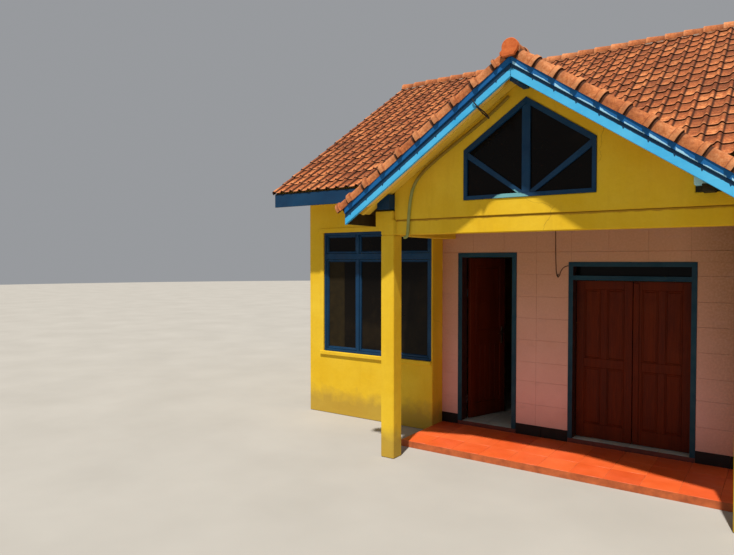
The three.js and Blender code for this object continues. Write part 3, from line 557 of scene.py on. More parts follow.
# Colours, scale of their pattern, roughness, specular level and depth of the bump
PLAIN = {
    "floor_grout": ("96705c be9e88", 20, 0.9, 0.2, 0.001),
    "riser_brick": ("964a28 c6683a", 12, 0.85, 0.3, 0.003),
    "skirting_tile": ("100c0c 201918", 10, 0.5, 0.2, 0.0006),
    "threshold_tile": ("4a1a12 682a1e", 12, 0.4, 0.5, 0.0006),
    "dark_room_glass": ("080605 0e0a07 20190f", 1.3, 0.13, 0.1, 0.0002, 0.0, (0.3, 0.55, 0.72)),
    "plate_clay": ("b85a2e da7642", 30, 0.85, 0.1, 0.0012),
    # The mortar under the verge caps is darkened as painted shade
    "verge_bedding": ("362418 684832", 26, 0.95, 0.1, 0.003),
    "worn_steel": ("787064 a8a094", 30, 0.4, 0.5, 0.0003, 1.0),
    "dim_curtain": ("201a0f 2c2414", 12, 0.8, 0.1, 0.0004),
    "cable_skin": ("543a28 6c4e38", 30, 0.7, 0.2, 0.0002),
    # Near black as painted shade: the bearer under the right plate and the fillets at the eaves
    "bearer_wood": ("1e1c10 38321c", 20, 0.85, 0.2, 0.0006),
    "black_iron": ("1a120e 30221a", 30, 0.6, 0.3, 0.0003),
}
for name, recipe in PLAIN.items():
    rough_plain(name, *recipe)


def conduit_plastic(name):
    """Pipe that was painted over with the gable along the rake and left bare where it comes down."""
    f = Finish(name, 0.6, 0.2)
    bare = f.ramp(f.noise(9, 5), "848e4e 9ca060")
    over = f.span(f.plus(f.axis("Z"), f.cloud(12, 4, 0.3, 0.7, -0.08, 0.08)), 2.86, 3.00)
    f.colour = f.mix(over, bare, "8a7022")
    f.done(None, f.bump(f.noise(60, 3), 0.0005, 0.5))


conduit_plastic("conduit_pipe")
print("finishes: floors, conduit,", ", ".join(PLAIN))

# %% [markdown]
# ## Small kit for pieces
# A piece is a mesh whose object sits at the origin, given a finish and a body to ride on. Most
# timber here is square bars, and real bars never have knife edges: a small bevel on every arris
# catches the light. Other solids are drawn as rings of points with faces between them, and some
# are copies of the frame's solids with rounded edges.

# %% Piece kit
FIXED = "house"
FLAT_AREA = 0.008


def smooth(mesh, degrees):
    """Smooth shading, crisp where faces meet at more than so many degrees and flat on large faces."""
    mesh.shade_smooth()
    mesh.set_sharp_from_angle(angle=math.radians(degrees))
    for face in mesh.polygons:
        face.use_smooth = face.area < FLAT_AREA
    return mesh


def mesh_from(bm, degrees=35):
    mesh = bpy.data.meshes.new("drawn")
    bm.to_mesh(mesh)
    bm.free()
    return smooth(mesh, degrees)


def paint(mesh, material):
    mesh.materials.clear()
    mesh.materials.append(bpy.data.materials[material])


def paint_node(node, material):
    """Gives a frame node that keeps its own shape its finish."""
    paint(frame["nodes"][node].data, material)


def show(name, mesh, material, slot, body=FIXED, replaces=()):
    """Puts a mesh, finished or still being drawn, into the scene as one piece of the house."""
    if isinstance(mesh, bmesh.types.BMesh):
        mesh = mesh_from(mesh)
    paint(mesh, material)
    piece = add_object(name, mesh)
    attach(piece, body)
    if replaces:
        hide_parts(*replaces)


def add_bar(bm, low, high, bevel=0.003, segments=1, matrix=None):
    """A box between two corners with eased edges, added to bm."""
    low, high = Vector(low), Vector(high)
    made = bmesh.ops.create_cube(bm, size=1.0)["verts"]
    size = high - low
    for vert in made:
        vert.co = Vector(low[i] + (vert.co[i] + 0.5) * size[i] for i in range(3))
    if bevel:
        edges = list({edge for vert in made for edge in vert.link_edges})
        made = bmesh.ops.bevel(bm, geom=edges, offset=bevel, segments=segments, affect="EDGES")["verts"]
    if matrix is not None:
        bmesh.ops.transform(bm, matrix=matrix, verts=made)


def add_strip(bm, a, b, closed=True):
    """Faces between two rings of points, or between two open rows."""
    n = len(a)
    return [bm.faces.new((a[k], a[(k + 1) % n], b[(k + 1) % n], b[k])) for k in range(n if closed else n - 1)]


def add_rings(bm, rings):
    """A closed solid from rings of points; returns its faces, the two ends last."""
    rings = [[bm.verts.new(point) for point in ring] for ring in rings]
    faces = [face for a, b in zip(rings, rings[1:]) for face in add_strip(bm, a, b)]
    faces += [bm.faces.new(rings[0]), bm.faces.new(rings[-1])]
    bmesh.ops.recalc_face_normals(bm, faces=faces)
    return faces


def add_prism(bm, corners, y0, y1, bevel=0.003):
    """A solid between two depths whose outline in the XZ plane is corners, with eased edges."""
    faces = add_rings(bm, [[(x, y, z) for x, z in corners] for y in (y0, y1)])
    if bevel:
        edges = list({edge for face in faces for edge in face.edges})
        bmesh.ops.bevel(bm, geom=edges, offset=bevel, segments=2, affect="EDGES", clamp_overlap=True)


def eased(node, bevel, segments, seams):
    """A copy of a frame node's mesh with its corners rounded, except in the planes y = seam."""
    bm = bmesh.new()
    bm.from_mesh(frame["nodes"][node].data)
    bmesh.ops.remove_doubles(bm, verts=bm.verts, dist=1e-5)
    bmesh.ops.dissolve_limit(bm, angle_limit=math.radians(1), verts=bm.verts, edges=bm.edges)
    sharp = [edge for edge in bm.edges if edge.calc_face_angle(0) > math.radians(25)]
    for seam in seams:
        sharp = [edge for edge in sharp if any(abs(v.co.y - seam) > 0.001 for v in edge.verts)]
    bmesh.ops.bevel(bm, geom=sharp, offset=bevel, segments=segments, affect="EDGES", clamp_overlap=True)
    return bm


def ease_nodes(nodes, material, slot, bevel, segments=2, seams=()):
    """Replaces frame nodes by rounded copies in one material."""
    for node in nodes:
        body = frame["nodes"][node]["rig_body"]
        show("soft_" + node, eased(node, bevel, segments, seams), material, slot, body, (node,))
    print("rounded", len(nodes), "nodes by", bevel * 1000, "mm:", ", ".join(nodes))


print("piece kit ready")

# %% [markdown]
# ## Laying pieces in courses
# Roof tiles, ridge caps and verge caps all repeat at a fixed step along one or two directions.
# Geometry Nodes lay them: points are counted out in columns and courses, each point gets a turn
# from the two directions, a little seeded jitter and a random tone, and the tile drawn in the
# object's own mesh is put on it. Where the porch roof meets the main roof, the tiles past the
# valley are left out by a straight rule. The last course may be cut short at the ridge: every
# point remembers its course before any is left out, because that numbers the points anew.

# %% A node tree that lays courses
VALLEY_INPUTS = (
    "Valley Centre", "Valley Start", "Valley Slope", "Valley Least", "Valley Side",
    "Eave Reach", "Eave Least")
NO_VALLEY = (0,) * len(VALLEY_INPUTS)


class Tree(Nodes):
    """A geometry node tree with named inputs."""

    def __init__(self, name, inputs):
        super().__init__(bpy.data.node_groups.new(name, "GeometryNodeTree"))
        self.add_socket("Geometry", "OUTPUT", "Geometry")
        self.add_socket("Geometry", "INPUT", "Geometry")
        self.keys = {label: self.add_socket(label, "INPUT", kind) for label, kind in inputs.items()}
        self.inputs = self.tree.nodes.new("NodeGroupInput").outputs

    def add_socket(self, label, side, kind):
        return self.tree.interface.new_socket(label, in_out=side, socket_type="NodeSocket" + kind).identifier

    def add(self, kind, inputs, **settings):
        return self.node(kind, inputs, **settings).outputs[0]

    def scaled(self, vector, factor):
        return self.add("ShaderNodeVectorMath", {0: vector, "Scale": factor}, operation="SCALE")

    def sum(self, a, b):
        return self.add("ShaderNodeVectorMath", {0: a, 1: b}, operation="ADD")

    def jitter(self, size, shift):
        """A random vector whose parts lie between -size and size."""
        inputs = {0: self.scaled((-1, -1, -1), size), 1: self.scaled((1, 1, 1), size),
                  "Seed": self.plus(self.inputs["Seed"], shift)}
        return self.add("FunctionNodeRandomValue", inputs, data_type="FLOAT_VECTOR")


def course_tree():
    t = Tree("lay_in_courses", {
        "Columns": "Int", "Courses": "Int", "Start": "Vector", "Across": "Vector", "Up": "Vector",
        "Top Course": "Float", "Shift": "Float", "Tilt": "Float", "Seed": "Int", "Material": "Material",
        **dict.fromkeys(VALLEY_INPUTS, "Float"),
    })
    i = t.inputs
    index = t.add("GeometryNodeInputIndex", {})
    column = t.math("FLOORED_MODULO", index, i["Columns"])
    course = t.math("FLOOR", t.math("DIVIDE", t.plus(index, 0.5), i["Columns"]))
    place = t.sum(i["Start"], t.sum(t.scaled(i["Across"], column), t.scaled(i["Up"], course)))
    points = t.add("GeometryNodePoints", {"Count": t.times(i["Columns"], i["Courses"]), "Position": place})
    numbered = t.tree.nodes.new("GeometryNodeCaptureAttribute")
    numbered.capture_items.new("FLOAT", "Course")
    t.tree.links.new(points, numbered.inputs["Geometry"])
    t.tree.links.new(course, numbered.inputs["Course"])

    spot = t.node("ShaderNodeSeparateXYZ", {0: t.add("GeometryNodeInputPosition", {})}).outputs
    sideways = t.math("ABSOLUTE", t.minus(spot["X"], i["Valley Centre"]))
    valley = t.minus(i["Valley Start"], t.times(sideways, i["Valley Slope"]))
    under_eave = t.math("GREATER_THAN", sideways, i["Eave Reach"])
    least = t.plus(t.times(under_eave, t.minus(i["Eave Least"], i["Valley Least"])), i["Valley Least"])
    past = t.times(t.minus(t.math("MAXIMUM", valley, least), spot["Y"]), i["Valley Side"])
    cut = t.add("FunctionNodeCompare", {0: past, 1: 0.0}, data_type="FLOAT", operation="GREATER_THAN")
    kept = t.add("GeometryNodeDeleteGeometry", {"Geometry": numbered.outputs["Geometry"], "Selection": cut},
                 domain="POINT")

    normal = t.add("ShaderNodeVectorMath", {0: i["Across"], 1: i["Up"]}, operation="CROSS_PRODUCT")
    turn = t.add("FunctionNodeAxesToRotation", {"Primary Axis": normal, "Secondary Axis": i["Across"]},
                 primary_axis="Z", secondary_axis="X")
    wobble = t.add("FunctionNodeEulerToRotation", {0: t.jitter(i["Tilt"], 1)})
    turned = t.add("FunctionNodeRotateRotation", {0: turn, 1: wobble}, rotation_space="LOCAL")
    is_top = t.math("COMPARE", numbered.outputs["Course"], t.minus(i["Courses"], 1))
    share = t.plus(1.0, t.times(is_top, t.minus(i["Top Course"], 1)))
    size = t.add("ShaderNodeCombineXYZ", {"X": 1.0, "Y": share, "Z": 1.0})
    laid = t.add("GeometryNodeInstanceOnPoints", {
        "Points": kept, "Instance": i["Geometry"], "Rotation": turned, "Scale": size})
    moved = t.add("GeometryNodeTranslateInstances", {
        "Instances": laid, "Translation": t.jitter(i["Shift"], 2), "Local Space": False})
    tone = t.node("FunctionNodeRandomValue", {"Seed": i["Seed"]}, data_type="FLOAT").outputs[1]
    toned = t.add("GeometryNodeStoreNamedAttribute", {"Geometry": moved, "Name": "tone", "Value": tone},
                  data_type="FLOAT", domain="INSTANCE")
    real = t.add("GeometryNodeRealizeInstances", {"Geometry": toned})
    done = t.add("GeometryNodeSetMaterial", {"Geometry": real, "Material": i["Material"]})
    t.tree.links.new(done, t.tree.nodes.new("NodeGroupOutput").inputs[0])
    return t


COURSES = course_tree()
print("tree:", COURSES.tree.name, "with inputs", ", ".join(COURSES.keys))

# %% [markdown]
# The tree is used through one function. It hangs the tree on a throw-away object that holds the
# drawn tile, fills in the inputs by their identifiers, and keeps the evaluated result as a plain
# mesh, so that nothing live is left on the finished piece.

# %% Lay courses and keep the mesh
def evaluated_mesh(holder):
    """The final mesh of an object, which is then thrown away."""
    graph = bpy.context.evaluated_depsgraph_get()
    shape = holder.evaluated_get(graph)
    mesh = bpy.data.meshes.new_from_object(shape, preserve_all_data_layers=True, depsgraph=graph)
    bpy.data.objects.remove(holder)
    return mesh


def lay(tile, material, columns, courses, start, across, up, seed, top=1.0, shift=0.0012, tilt=0.5,
        valley=NO_VALLEY):
    """The mesh of a tile laid in columns along across and courses along up, from start."""
    vectors = {"Start": start, "Across": across, "Up": up}
    values = {
        "Columns": columns, "Courses": courses, "Seed": seed, "Material": bpy.data.materials[material],
        "Top Course": float(top), "Shift": shift, "Tilt": math.radians(tilt),
        **{label: [float(v) for v in vector] for label, vector in vectors.items()},
        **{label: float(value) for label, value in zip(VALLEY_INPUTS, valley)},
    }
    holder = add_object("course_holder", tile)
    modifier = holder.modifiers.new("courses", "NODES")
    modifier.node_group = COURSES.tree
    for label, value in values.items():
        modifier[COURSES.keys[label]] = value
    return evaluated_mesh(holder)


def join_meshes(*meshes):
    """One mesh with all that is in several."""
    bm = bmesh.new()
    for mesh in meshes:
        bm.from_mesh(mesh)
    joined = bpy.data.meshes.new("joined")
    bm.to_mesh(joined)
    bm.free()
    return joined


print("courses can be laid")

# %% [markdown]
# ## Pantiles
# A pantile is one bent sheet of clay: a shallow pan that rises at its right edge into a roll,
# which laps over the next tile's pan. Its lower end rests on the tile below, so it lies a little
# flatter than the slope. The section is given by twelve points, and the underside is the same
# line moved inwards by the tile's thickness, with half the points. Hundreds are laid, so each
# stays light. The tiles at the left edge of a main slope are rolls that turn down there.

# %% Tiles
TILE_PITCH = 0.158
COURSE_STEP = 0.2389
TILE_LENGTH = 0.27
TILE_THICKNESS = 0.012
TAIL_RISE = 0.020
HEAD_RISE = 0.004
# Across the tile as a share of its pitch, and height in millimetres
PAN_AND_ROLL = (
    (-0.03, 4.5), (0.05, 1.5), (0.16, 0.0), (0.44, 0.0), (0.57, 2.0), (0.65, 8.0),
    (0.71, 18.0), (0.77, 26.0), (0.83, 28.5), (0.89, 26.0), (0.95, 17.0), (1.01, 6.0),
)
PAN_UNDERSIDE = (0, 3, 5, 8, 10, 11)
VERGE_ROLL = (
    (0.60, -30.0), (0.62, 4.0), (0.67, 16.0), (0.73, 23.0),
    (0.80, 27.0), (0.88, 25.0), (0.96, 16.0), (1.02, 8.0),
)
VERGE_UNDERSIDE = (0, 1, 4, 6, 7)


def lower_face(points, thickness):
    """Points at a thickness below a line of points, at right angles to it."""
    lower = []
    for i, (x, z) in enumerate(points):
        before, after = points[max(i - 1, 0)], points[min(i + 1, len(points) - 1)]
        dx, dz = after[0] - before[0], after[1] - before[1]
        length = math.hypot(dx, dz)
        lower.append((x + dz / length * thickness, z - dx / length * thickness))
    return lower


def mark_layers(bm):
    """Layers for where on a tile a point lies, and for the faces that are raw edges."""
    places = bm.verts.layers.float
    return places.new("along"), places.new("across"), bm.faces.layers.float.new("edge")


def sheet_tile(section, underside):
    """A bent sheet of clay; underside are the places of the section that its lower face follows."""
    upper = [(u * TILE_PITCH, h / 1000) for u, h in section]
    lower = lower_face(upper, TILE_THICKNESS)
    outline = upper + [lower[k] for k in underside[::-1]]
    order = [*range(len(section)), *underside[::-1]]
    bm = bmesh.new()
    along, across, edge = mark_layers(bm)
    faces = add_rings(bm, [
        [(x, share * TILE_LENGTH, z + rise + TILE_THICKNESS) for x, z in outline]
        for share, rise in ((0.0, TAIL_RISE), (1.0, HEAD_RISE))])
    for number, face in enumerate(faces):
        face[edge] = float(number >= len(upper) - 1)
    for number, vert in enumerate(bm.verts):
        share, k = divmod(number, len(outline))
        vert[along], vert[across] = float(share), section[order[k]][0]
    return mesh_from(bm, 40)


PANTILE = sheet_tile(PAN_AND_ROLL, PAN_UNDERSIDE)
VERGE_TILE = sheet_tile(VERGE_ROLL, VERGE_UNDERSIDE)
print("one pantile has", len(PANTILE.polygons), "faces")

# %% [markdown]
# ## The tiled slopes
# The four slopes share one tile. Columns are counted from a roll that the photograph shows
# clearly, courses from the eave up. The rear slope is the front one turned half round the ridge,
# and the porch slopes run along the porch ridge. The valley rule is the line in plan where the
# two roofs have the same height.

# %% Main roof tiles
MAIN_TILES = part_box("main_roof_tiles")
ROLL_X = at(1.308, 0, 0).x
ROLL_SHARE = 0.81
LAST_COLUMN = 18
COLUMNS = 51
VALLEY_START = (PORCH_APEX - main_top(0)) / MAIN_TAN
VALLEY_SLOPE = PORCH_TAN / MAIN_TAN
# Under the porch roof the front slope's tiles run this far past the valley
VALLEY_LAP = 0.30
# Further away than anything on the house, for a limit that doesn't apply
FAR = 99
FIRST_TILE_X = ROLL_X - ROLL_SHARE * TILE_PITCH + (LAST_COLUMN - COLUMNS + 1) * TILE_PITCH
EDGE_SLACK = 0.004
CREST = 0.059
LAST_GAP = 0.012


def courses_up(length, least):
    """Number of courses on a slope, without a last one under least, and the last one's share of a tile."""
    courses = math.ceil((length - least) / COURSE_STEP)
    return courses, min(1.0, (length - LAST_GAP - (courses - 1) * COURSE_STEP) / TILE_LENGTH)


def main_slope(tile, columns, first_x, seed, valley=NO_VALLEY):
    """A field of tiles on the main roof's front slope, from its column at first_x."""
    length = (RIDGE_Y - MAIN_TILES[0].y - CREST * math.sin(MAIN_PITCH)) / math.cos(MAIN_PITCH)
    courses, top = courses_up(length, least=0.06)
    eave_y = MAIN_TILES[0].y + CREST * math.sin(MAIN_PITCH) + EDGE_SLACK
    up = Vector((0, math.cos(MAIN_PITCH), math.sin(MAIN_PITCH))) * COURSE_STEP
    start = (first_x, eave_y, main_top(eave_y))
    return lay(tile, "roof_clay", columns, courses, start, (TILE_PITCH, 0, 0), up, seed, top, valley=valley)


half_turn = Matrix.Translation(Vector((middle("main_roof_tiles", 0), RIDGE_Y, 0)))
half_turn = half_turn @ Matrix.Rotation(math.pi, 4, "Z") @ half_turn.inverted()
front_valley = (PORCH_X, VALLEY_START - VALLEY_LAP, VALLEY_SLOPE, -FAR, 1, FAR, 0)
edge_x = MAIN_TILES[0].x - VERGE_ROLL[0][0] * TILE_PITCH + EDGE_SLACK
slopes = (("front", 11, front_valley, ("main_roof_tiles",)), ("rear", 13, NO_VALLEY, ()))
for side, seed, valley, replaced in slopes:
    slope = join_meshes(main_slope(PANTILE, COLUMNS, FIRST_TILE_X, seed, valley),
                        main_slope(VERGE_TILE, 1, edge_x, seed + 1))
    if side == "rear":
        slope.transform(half_turn)
    show("main_tiles_" + side, smooth(slope, 40), "roof_clay", "clay_tile", replaces=replaced)
    print("main roof,", side, "slope:", len(slope.polygons), "faces")

# %% Porch roof tiles
PORCH_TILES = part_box("porch_roof_tiles")
EAVE_LIMIT = MAIN_TILES[0].y - 0.005
UNDER_EAVE_X = (PORCH_APEX + TILE_LAYER - EAVE[0].z) / PORCH_TAN + 0.02
PORCH_COLUMNS = 16
FRONT_LAP = 0.02


def porch_slope(side, edge_x, seed):
    """One slope of the porch roof; side is -1 for the left one and +1 for the right."""
    inner_x = edge_x - side * (EDGE_SLACK + CREST * math.sin(PORCH_PITCH))
    courses, top = courses_up(abs(inner_x - PORCH_X) / math.cos(PORCH_PITCH), least=0.07)
    up = Vector((-side * math.cos(PORCH_PITCH), 0, math.sin(PORCH_PITCH))) * COURSE_STEP
    lean = 0.0 if side > 0 else TILE_PITCH
    start_y = PORCH_TILES[0].y - FRONT_LAP + lean * PORCH_COLUMNS
    valley = (PORCH_X, VALLEY_START + lean, VALLEY_SLOPE, EAVE_LIMIT - TILE_PITCH + lean, -1,
              UNDER_EAVE_X, WALL_FRONT - TILE_PITCH + lean)
    return lay(PANTILE, "roof_clay", PORCH_COLUMNS, courses, (inner_x, start_y, porch_top(inner_x)),
               (0, side * TILE_PITCH, 0), up, seed, top, valley=valley)


porch_tiles = join_meshes(porch_slope(-1, PORCH_TILES[0].x, 21), porch_slope(1, PORCH_TILES[1].x, 22))
show("porch_tiles", smooth(porch_tiles, 40), "roof_clay", "clay_tile", replaces=("porch_roof_tiles",))
print("porch tiles:", len(porch_tiles.polygons), "faces")

# %% [markdown]
# ## Ridge and verge caps
# Half-round caps cover the ridges and run down both edges of the porch gable. Each is slightly
# tapered, with a thicker collar at one end that covers the narrow end of its neighbour, so a row
# of them looks like a bamboo cane. The section is an arch; five rings along the cap give its
# rounded lip, the collar, its step and the taper. The course tree lays them in a single row.

# %% One half-round cap
CAP_STEP = 0.25
CAP_WALL = 0.012
CAP_LAP = 0.035


def cap_tile(arch, length, collar=0.046, step=0.015, taper=0.006):
    """A tapered arch-shaped cap along +Y from its collar; arch gives its section at an inset in x and z."""
    total = length + CAP_LAP
    outline = ((0.0, 0.003), (0.004, 0.0), (collar, 0.0), (collar + 0.006, step), (total, step + taper))
    hollow = ((0.0, step + CAP_WALL), (total, step + taper + CAP_WALL))
    bm = bmesh.new()
    along, across, edge = mark_layers(bm)
    rows = []
    for y, inset in outline + hollow:
        rows.append([bm.verts.new((x, y, z)) for x, z in arch(inset)])
        for vert in rows[-1]:
            vert[along], vert[across] = y / total, 0.5
    outer, inner = rows[:len(outline)], rows[len(outline):]
    strips = [*zip(outer, outer[1:]), (inner[0], inner[1]), (outer[0], inner[0]), (outer[-1], inner[1])]
    for number, (a, b) in enumerate(strips):
        for face in add_strip(bm, a, b, closed=False):
            face[edge] = float(number >= len(outline) - 1)
    for k in (0, -1):
        bm.faces.new([row[k] for row in outer] + [inner[1][k], inner[0][k]])[edge] = 1.0
    bmesh.ops.recalc_face_normals(bm, faces=bm.faces)
    return mesh_from(bm, 38)


def arch_section(radius, centre, foot):
    """The section of a round arch whose feet stand at a height foot, as a function of an inset."""
    steps = 12

    def section(inset):
        r = radius - inset
        low = math.asin(max(-0.95, min(0.95, (foot - centre) / r)))
        if foot < centre - r * 0.2:
            low = 0.0
        angles = [low + (math.pi - 2 * low) * k / steps for k in range(steps + 1)]
        points = [(-r * math.cos(angle), centre + r * math.sin(angle)) for angle in angles]
        return points if low else [(-r, foot), *points, (r, foot)]
    return section


def row_of_caps(cap, count, start, along, across, seed, top=1.0, finish="cap_clay"):
    """Caps laid in one row from start at a step of along; the last one may be cut short."""
    return lay(cap, finish, 1, count, start, across, along, seed, top, tilt=0.8)


# %% Main ridge caps
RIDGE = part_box("main_ridge_caps")
RIDGE_RADIUS = 0.10
ridge_length = RIDGE[1].x - RIDGE[0].x - 2 * EDGE_SLACK
ridge_count = round(ridge_length / CAP_STEP)
ridge_step = (ridge_length - CAP_LAP) / ridge_count
ridge_arch = arch_section(RIDGE_RADIUS, -RIDGE_RADIUS - 0.002, -0.112)
ridge_cap = cap_tile(ridge_arch, ridge_step, collar=0.014, step=0.002, taper=0.019)
ridge_start = (RIDGE[0].x + EDGE_SLACK, RIDGE_Y, RIDGE[1].z)
ridge_row = row_of_caps(
    ridge_cap, ridge_count, ridge_start, (ridge_step, 0, 0), (0, -1, 0), 31, finish="ridge_clay")
show("ridge_caps", ridge_row, "ridge_clay", "clay_tile", replaces=("main_ridge_caps",))
print("ridge caps:", ridge_count, "at a step of", round(ridge_step, 3), "m")

# %% [markdown]
# The main caps are bedded in mortar that was pushed under both edges by hand and rubbed with
# clay. It is a ribbon that fills the pans up to the caps and whose lower edge wanders.

# %% Mortar under the ridge caps
RIBBON_END = 0.06
RIBBON_STEP = 0.035


def wander(value, seed):
    """A smooth wave between -1 and 1 without a visible period."""
    waves = ((0.5, 9.1, seed), (0.3, 23.7, 2.3 * seed), (0.2, 61.3, 0))
    return sum(share * math.sin(value * rate + phase) for share, rate, phase in waves)


def ridge_bedding(side):
    """The ribbon of mortar on one side of the ridge, thin at its wandering lower edge."""
    length = RIDGE[1].x - RIDGE[0].x - 2 * RIBBON_END
    count = int(length / RIBBON_STEP)
    rings = []
    for k in range(count + 1):
        u = length * k / count
        wave = wander(u, 1.7 + side)
        y = RIDGE_Y + side * (0.112 + 0.020 * wave)
        inner, lip = RIDGE_Y + side * 0.05, y - side * 0.012
        low, top = main_top(y) + 0.012, RIDGE[1].z - 0.10
        section = (y, low), (lip, low + 0.045 + 0.008 * wave), (inner, top), (inner, low)
        rings.append([(RIDGE[0].x + RIBBON_END + u, *point) for point in section])
    bm = bmesh.new()
    add_rings(bm, rings)
    return mesh_from(bm, 50)


show("ridge_bedding", join_meshes(ridge_bedding(-1), ridge_bedding(1)), "bedding_mortar", "clay_tile")
print("mortar under both edges of the ridge caps")

# %% [markdown]
# The caps down the two porch verges have the same make. A row runs up each slope from the eave,
# so that every collar faces down and covers the narrow head of the cap below. They hang over the
# boards' upper edge and lie on a bed of mortar that is darkened as painted shade. The lowest cap
# on the left is cut shorter.

# %% Verge caps
VERGE_RADIUS = 0.082
VERGE_RISE = 0.016
VERGE_ROW_Y = at(0, -1.771, 0).y
# Side, distance down the slope from the ridge to the lowest collar, step, number of caps, seed,
# and what is cut off the lowest cap
VERGE_ROWS = {"left": (-1, 2.366, 0.2437, 10, 41, 0.07), "right": (1, 2.488, 0.2237, 11, 42, 0.0)}
RIDGE_CLEARANCE = 0.02
VERGE_BED_FRONT = 0.039
VERGE_BED_BACK = 0.052
VERGE_BED_TOP = 0.026
verge_arch = arch_section(VERGE_RADIUS, VERGE_RISE, -VERGE_RISE)


def rake_matrix(side):
    """Local x down the slope from the ridge's middle, z out of the slope, y into the house."""
    slope = Vector((side * math.cos(PORCH_PITCH), 0, -math.sin(PORCH_PITCH)))
    normal = Vector((side * math.sin(PORCH_PITCH), 0, math.cos(PORCH_PITCH)))
    turn = Matrix((slope, Vector((0, 1, 0)), normal)).transposed().to_4x4()
    return Matrix.Translation(Vector((PORCH_X, 0, PORCH_APEX))) @ turn


def verge_row(name, side, low_run, step, count, seed, cut):
    """Caps from the eave end of a verge up to the ridge, on their bed of mortar."""
    rake = rake_matrix(side)
    up = Vector((-side * math.cos(PORCH_PITCH), 0, math.sin(PORCH_PITCH)))
    last = min(1.0, (low_run - (count - 1) * step - RIDGE_CLEARANCE) / (step + CAP_LAP))
    rows = []
    for number, size, run, row_seed, top in (
            (1, step - cut, low_run - cut, seed + 5, 1.0), (count - 1, step, low_run - step, seed, last)):
        cap, start = cap_tile(verge_arch, size), rake @ Vector((run, VERGE_ROW_Y, 0))
        rows.append(row_of_caps(cap, number, start, up * size, (0, side, 0), row_seed, top))
    replaced = ("porch_verge_caps_" + name,)
    show("verge_caps_" + name, join_meshes(*rows), "cap_clay", "clay_tile", replaces=replaced)
    # The bed's dark mortar is painted shade under the caps
    bed = bmesh.new()
    front, back = VERGE_ROW_Y - VERGE_BED_FRONT, VERGE_ROW_Y + VERGE_BED_BACK
    add_bar(bed, (0.03, front, 0.001), (low_run - cut - 0.05, back, VERGE_BED_TOP), 0.006, 2, rake)
    show("verge_bed_" + name, bed, "verge_bedding", "clay_tile")
    print("verge caps on the", name, ":", count, "the last at", round(last, 2))


for name, row in VERGE_ROWS.items():
    verge_row(name, *row)

# %% [markdown]
# The porch ridge starts behind a round plate, the bright disc at the top of the gable, whose
# mortar runs out to the lower left.

# %% Porch ridge caps and their end plate
PORCH_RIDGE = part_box("porch_ridge_caps")
PORCH_CAP_RADIUS = 0.078
PLATE_DEPTH = 0.03
PLATE_CENTRE = (0.010, 3.914)
PLATE_RADIUS = 0.075
# First angle, turn in degrees and number of steps of the round part
PLATE_ARC = (-50, 245, 24)
# Scale and depth of the rings that round the plate's front
PLATE_ROUND = ((0.925, 0.0), (0.978, 0.0018), (1.0, 0.006), (1.0, PLATE_DEPTH))
MORTAR_LOBE = (
    (-0.085, 3.872), (-0.080, 3.850), (-0.062, 3.835), (-0.03, 3.832), (0.01, 3.836), (0.05, 3.838))

porch_arch = arch_section(PORCH_CAP_RADIUS, -PORCH_CAP_RADIUS - 0.001, -0.125)
porch_length = PORCH_RIDGE[1].y - PORCH_RIDGE[0].y - PLATE_DEPTH
porch_count = round((porch_length - CAP_LAP) / CAP_STEP)
porch_step = (porch_length - CAP_LAP) / porch_count
porch_start = (PORCH_X, PORCH_RIDGE[0].y + PLATE_DEPTH, PORCH_RIDGE[1].z)
porch_cap = cap_tile(porch_arch, porch_step, step=0.008)
porch_row = row_of_caps(porch_cap, porch_count, porch_start, (0, porch_step, 0), (1, 0, 0), 51)
show("porch_ridge_row", porch_row, "cap_clay", "clay_tile", replaces=("porch_ridge_caps",))


def end_plate():
    """The plate that closes the first cap: a disc with a lobe of mortar, rounded round its front."""
    (cx, cz), (first, turn, steps) = PLATE_CENTRE, PLATE_ARC
    angles = [math.radians(first + turn * k / steps) for k in range(steps + 1)]
    outline = [(cx + PLATE_RADIUS * math.cos(a), cz + PLATE_RADIUS * math.sin(a)) for a in angles]
    outline += MORTAR_LOBE
    rings = []
    for scale, depth in PLATE_ROUND:
        ring = [at(cx + (x - cx) * scale, 0, cz + (z - cz) * scale) for x, z in outline]
        rings.append([(p.x, PORCH_RIDGE[0].y + depth, p.z) for p in ring])
    bm = bmesh.new()
    add_rings(bm, rings)
    return mesh_from(bm, 60)


show("ridge_end_plate", end_plate(), "plate_clay", "clay_tile")
print("porch ridge caps:", porch_count)

# %% [markdown]
# ## Roof timber
# Eave and verge boards keep the frame's exact shapes, with eased edges. The porch has two boards
# up each rake: a darker one above, sheltered by the caps, and a light one set back below it. Each
# is a pair of boards with a mitre at the ridge, and knows for its paint how far up a point lies,
# where between two collars, and whether it is on the sunny side.

# %% Eave boards, fillets and bargeboards
BOARD_EASE = 0.003
EAVE_BOARDS = ("eave_board_front", "eave_board_rear")
SIDE_BOARDS = ("verge_board_left", "verge_board_right", "wall_plate_left")
ease_nodes(EAVE_BOARDS, "dark_blue_x", "dark_blue_paint", BOARD_EASE)
ease_nodes(SIDE_BOARDS, "dark_blue_y", "dark_blue_paint", BOARD_EASE)
paint_node("main_roof_deck", "soffit_yellow_x")
# The porch deck's dark brown underside is painted shade
paint_node("porch_roof_deck", "dark_boards_y")

# Near-black fillets under the tiles' lip at both eaves stand in for shadow: painted shade
fillets = bmesh.new()
for name in EAVE_BOARDS:
    (x0, _, _), (x1, _, z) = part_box(name)
    y = middle(name, 1)
    add_bar(fillets, (x0 + 0.004, y - 0.006, z - 0.012), (x1 - 0.004, y + 0.030, z + 0.014), 0)
show("eave_fillets", fillets, "bearer_wood", "dark_blue_paint")

MITRE = 0.0008
UPPER_BOARD_BOTTOM = 0.078


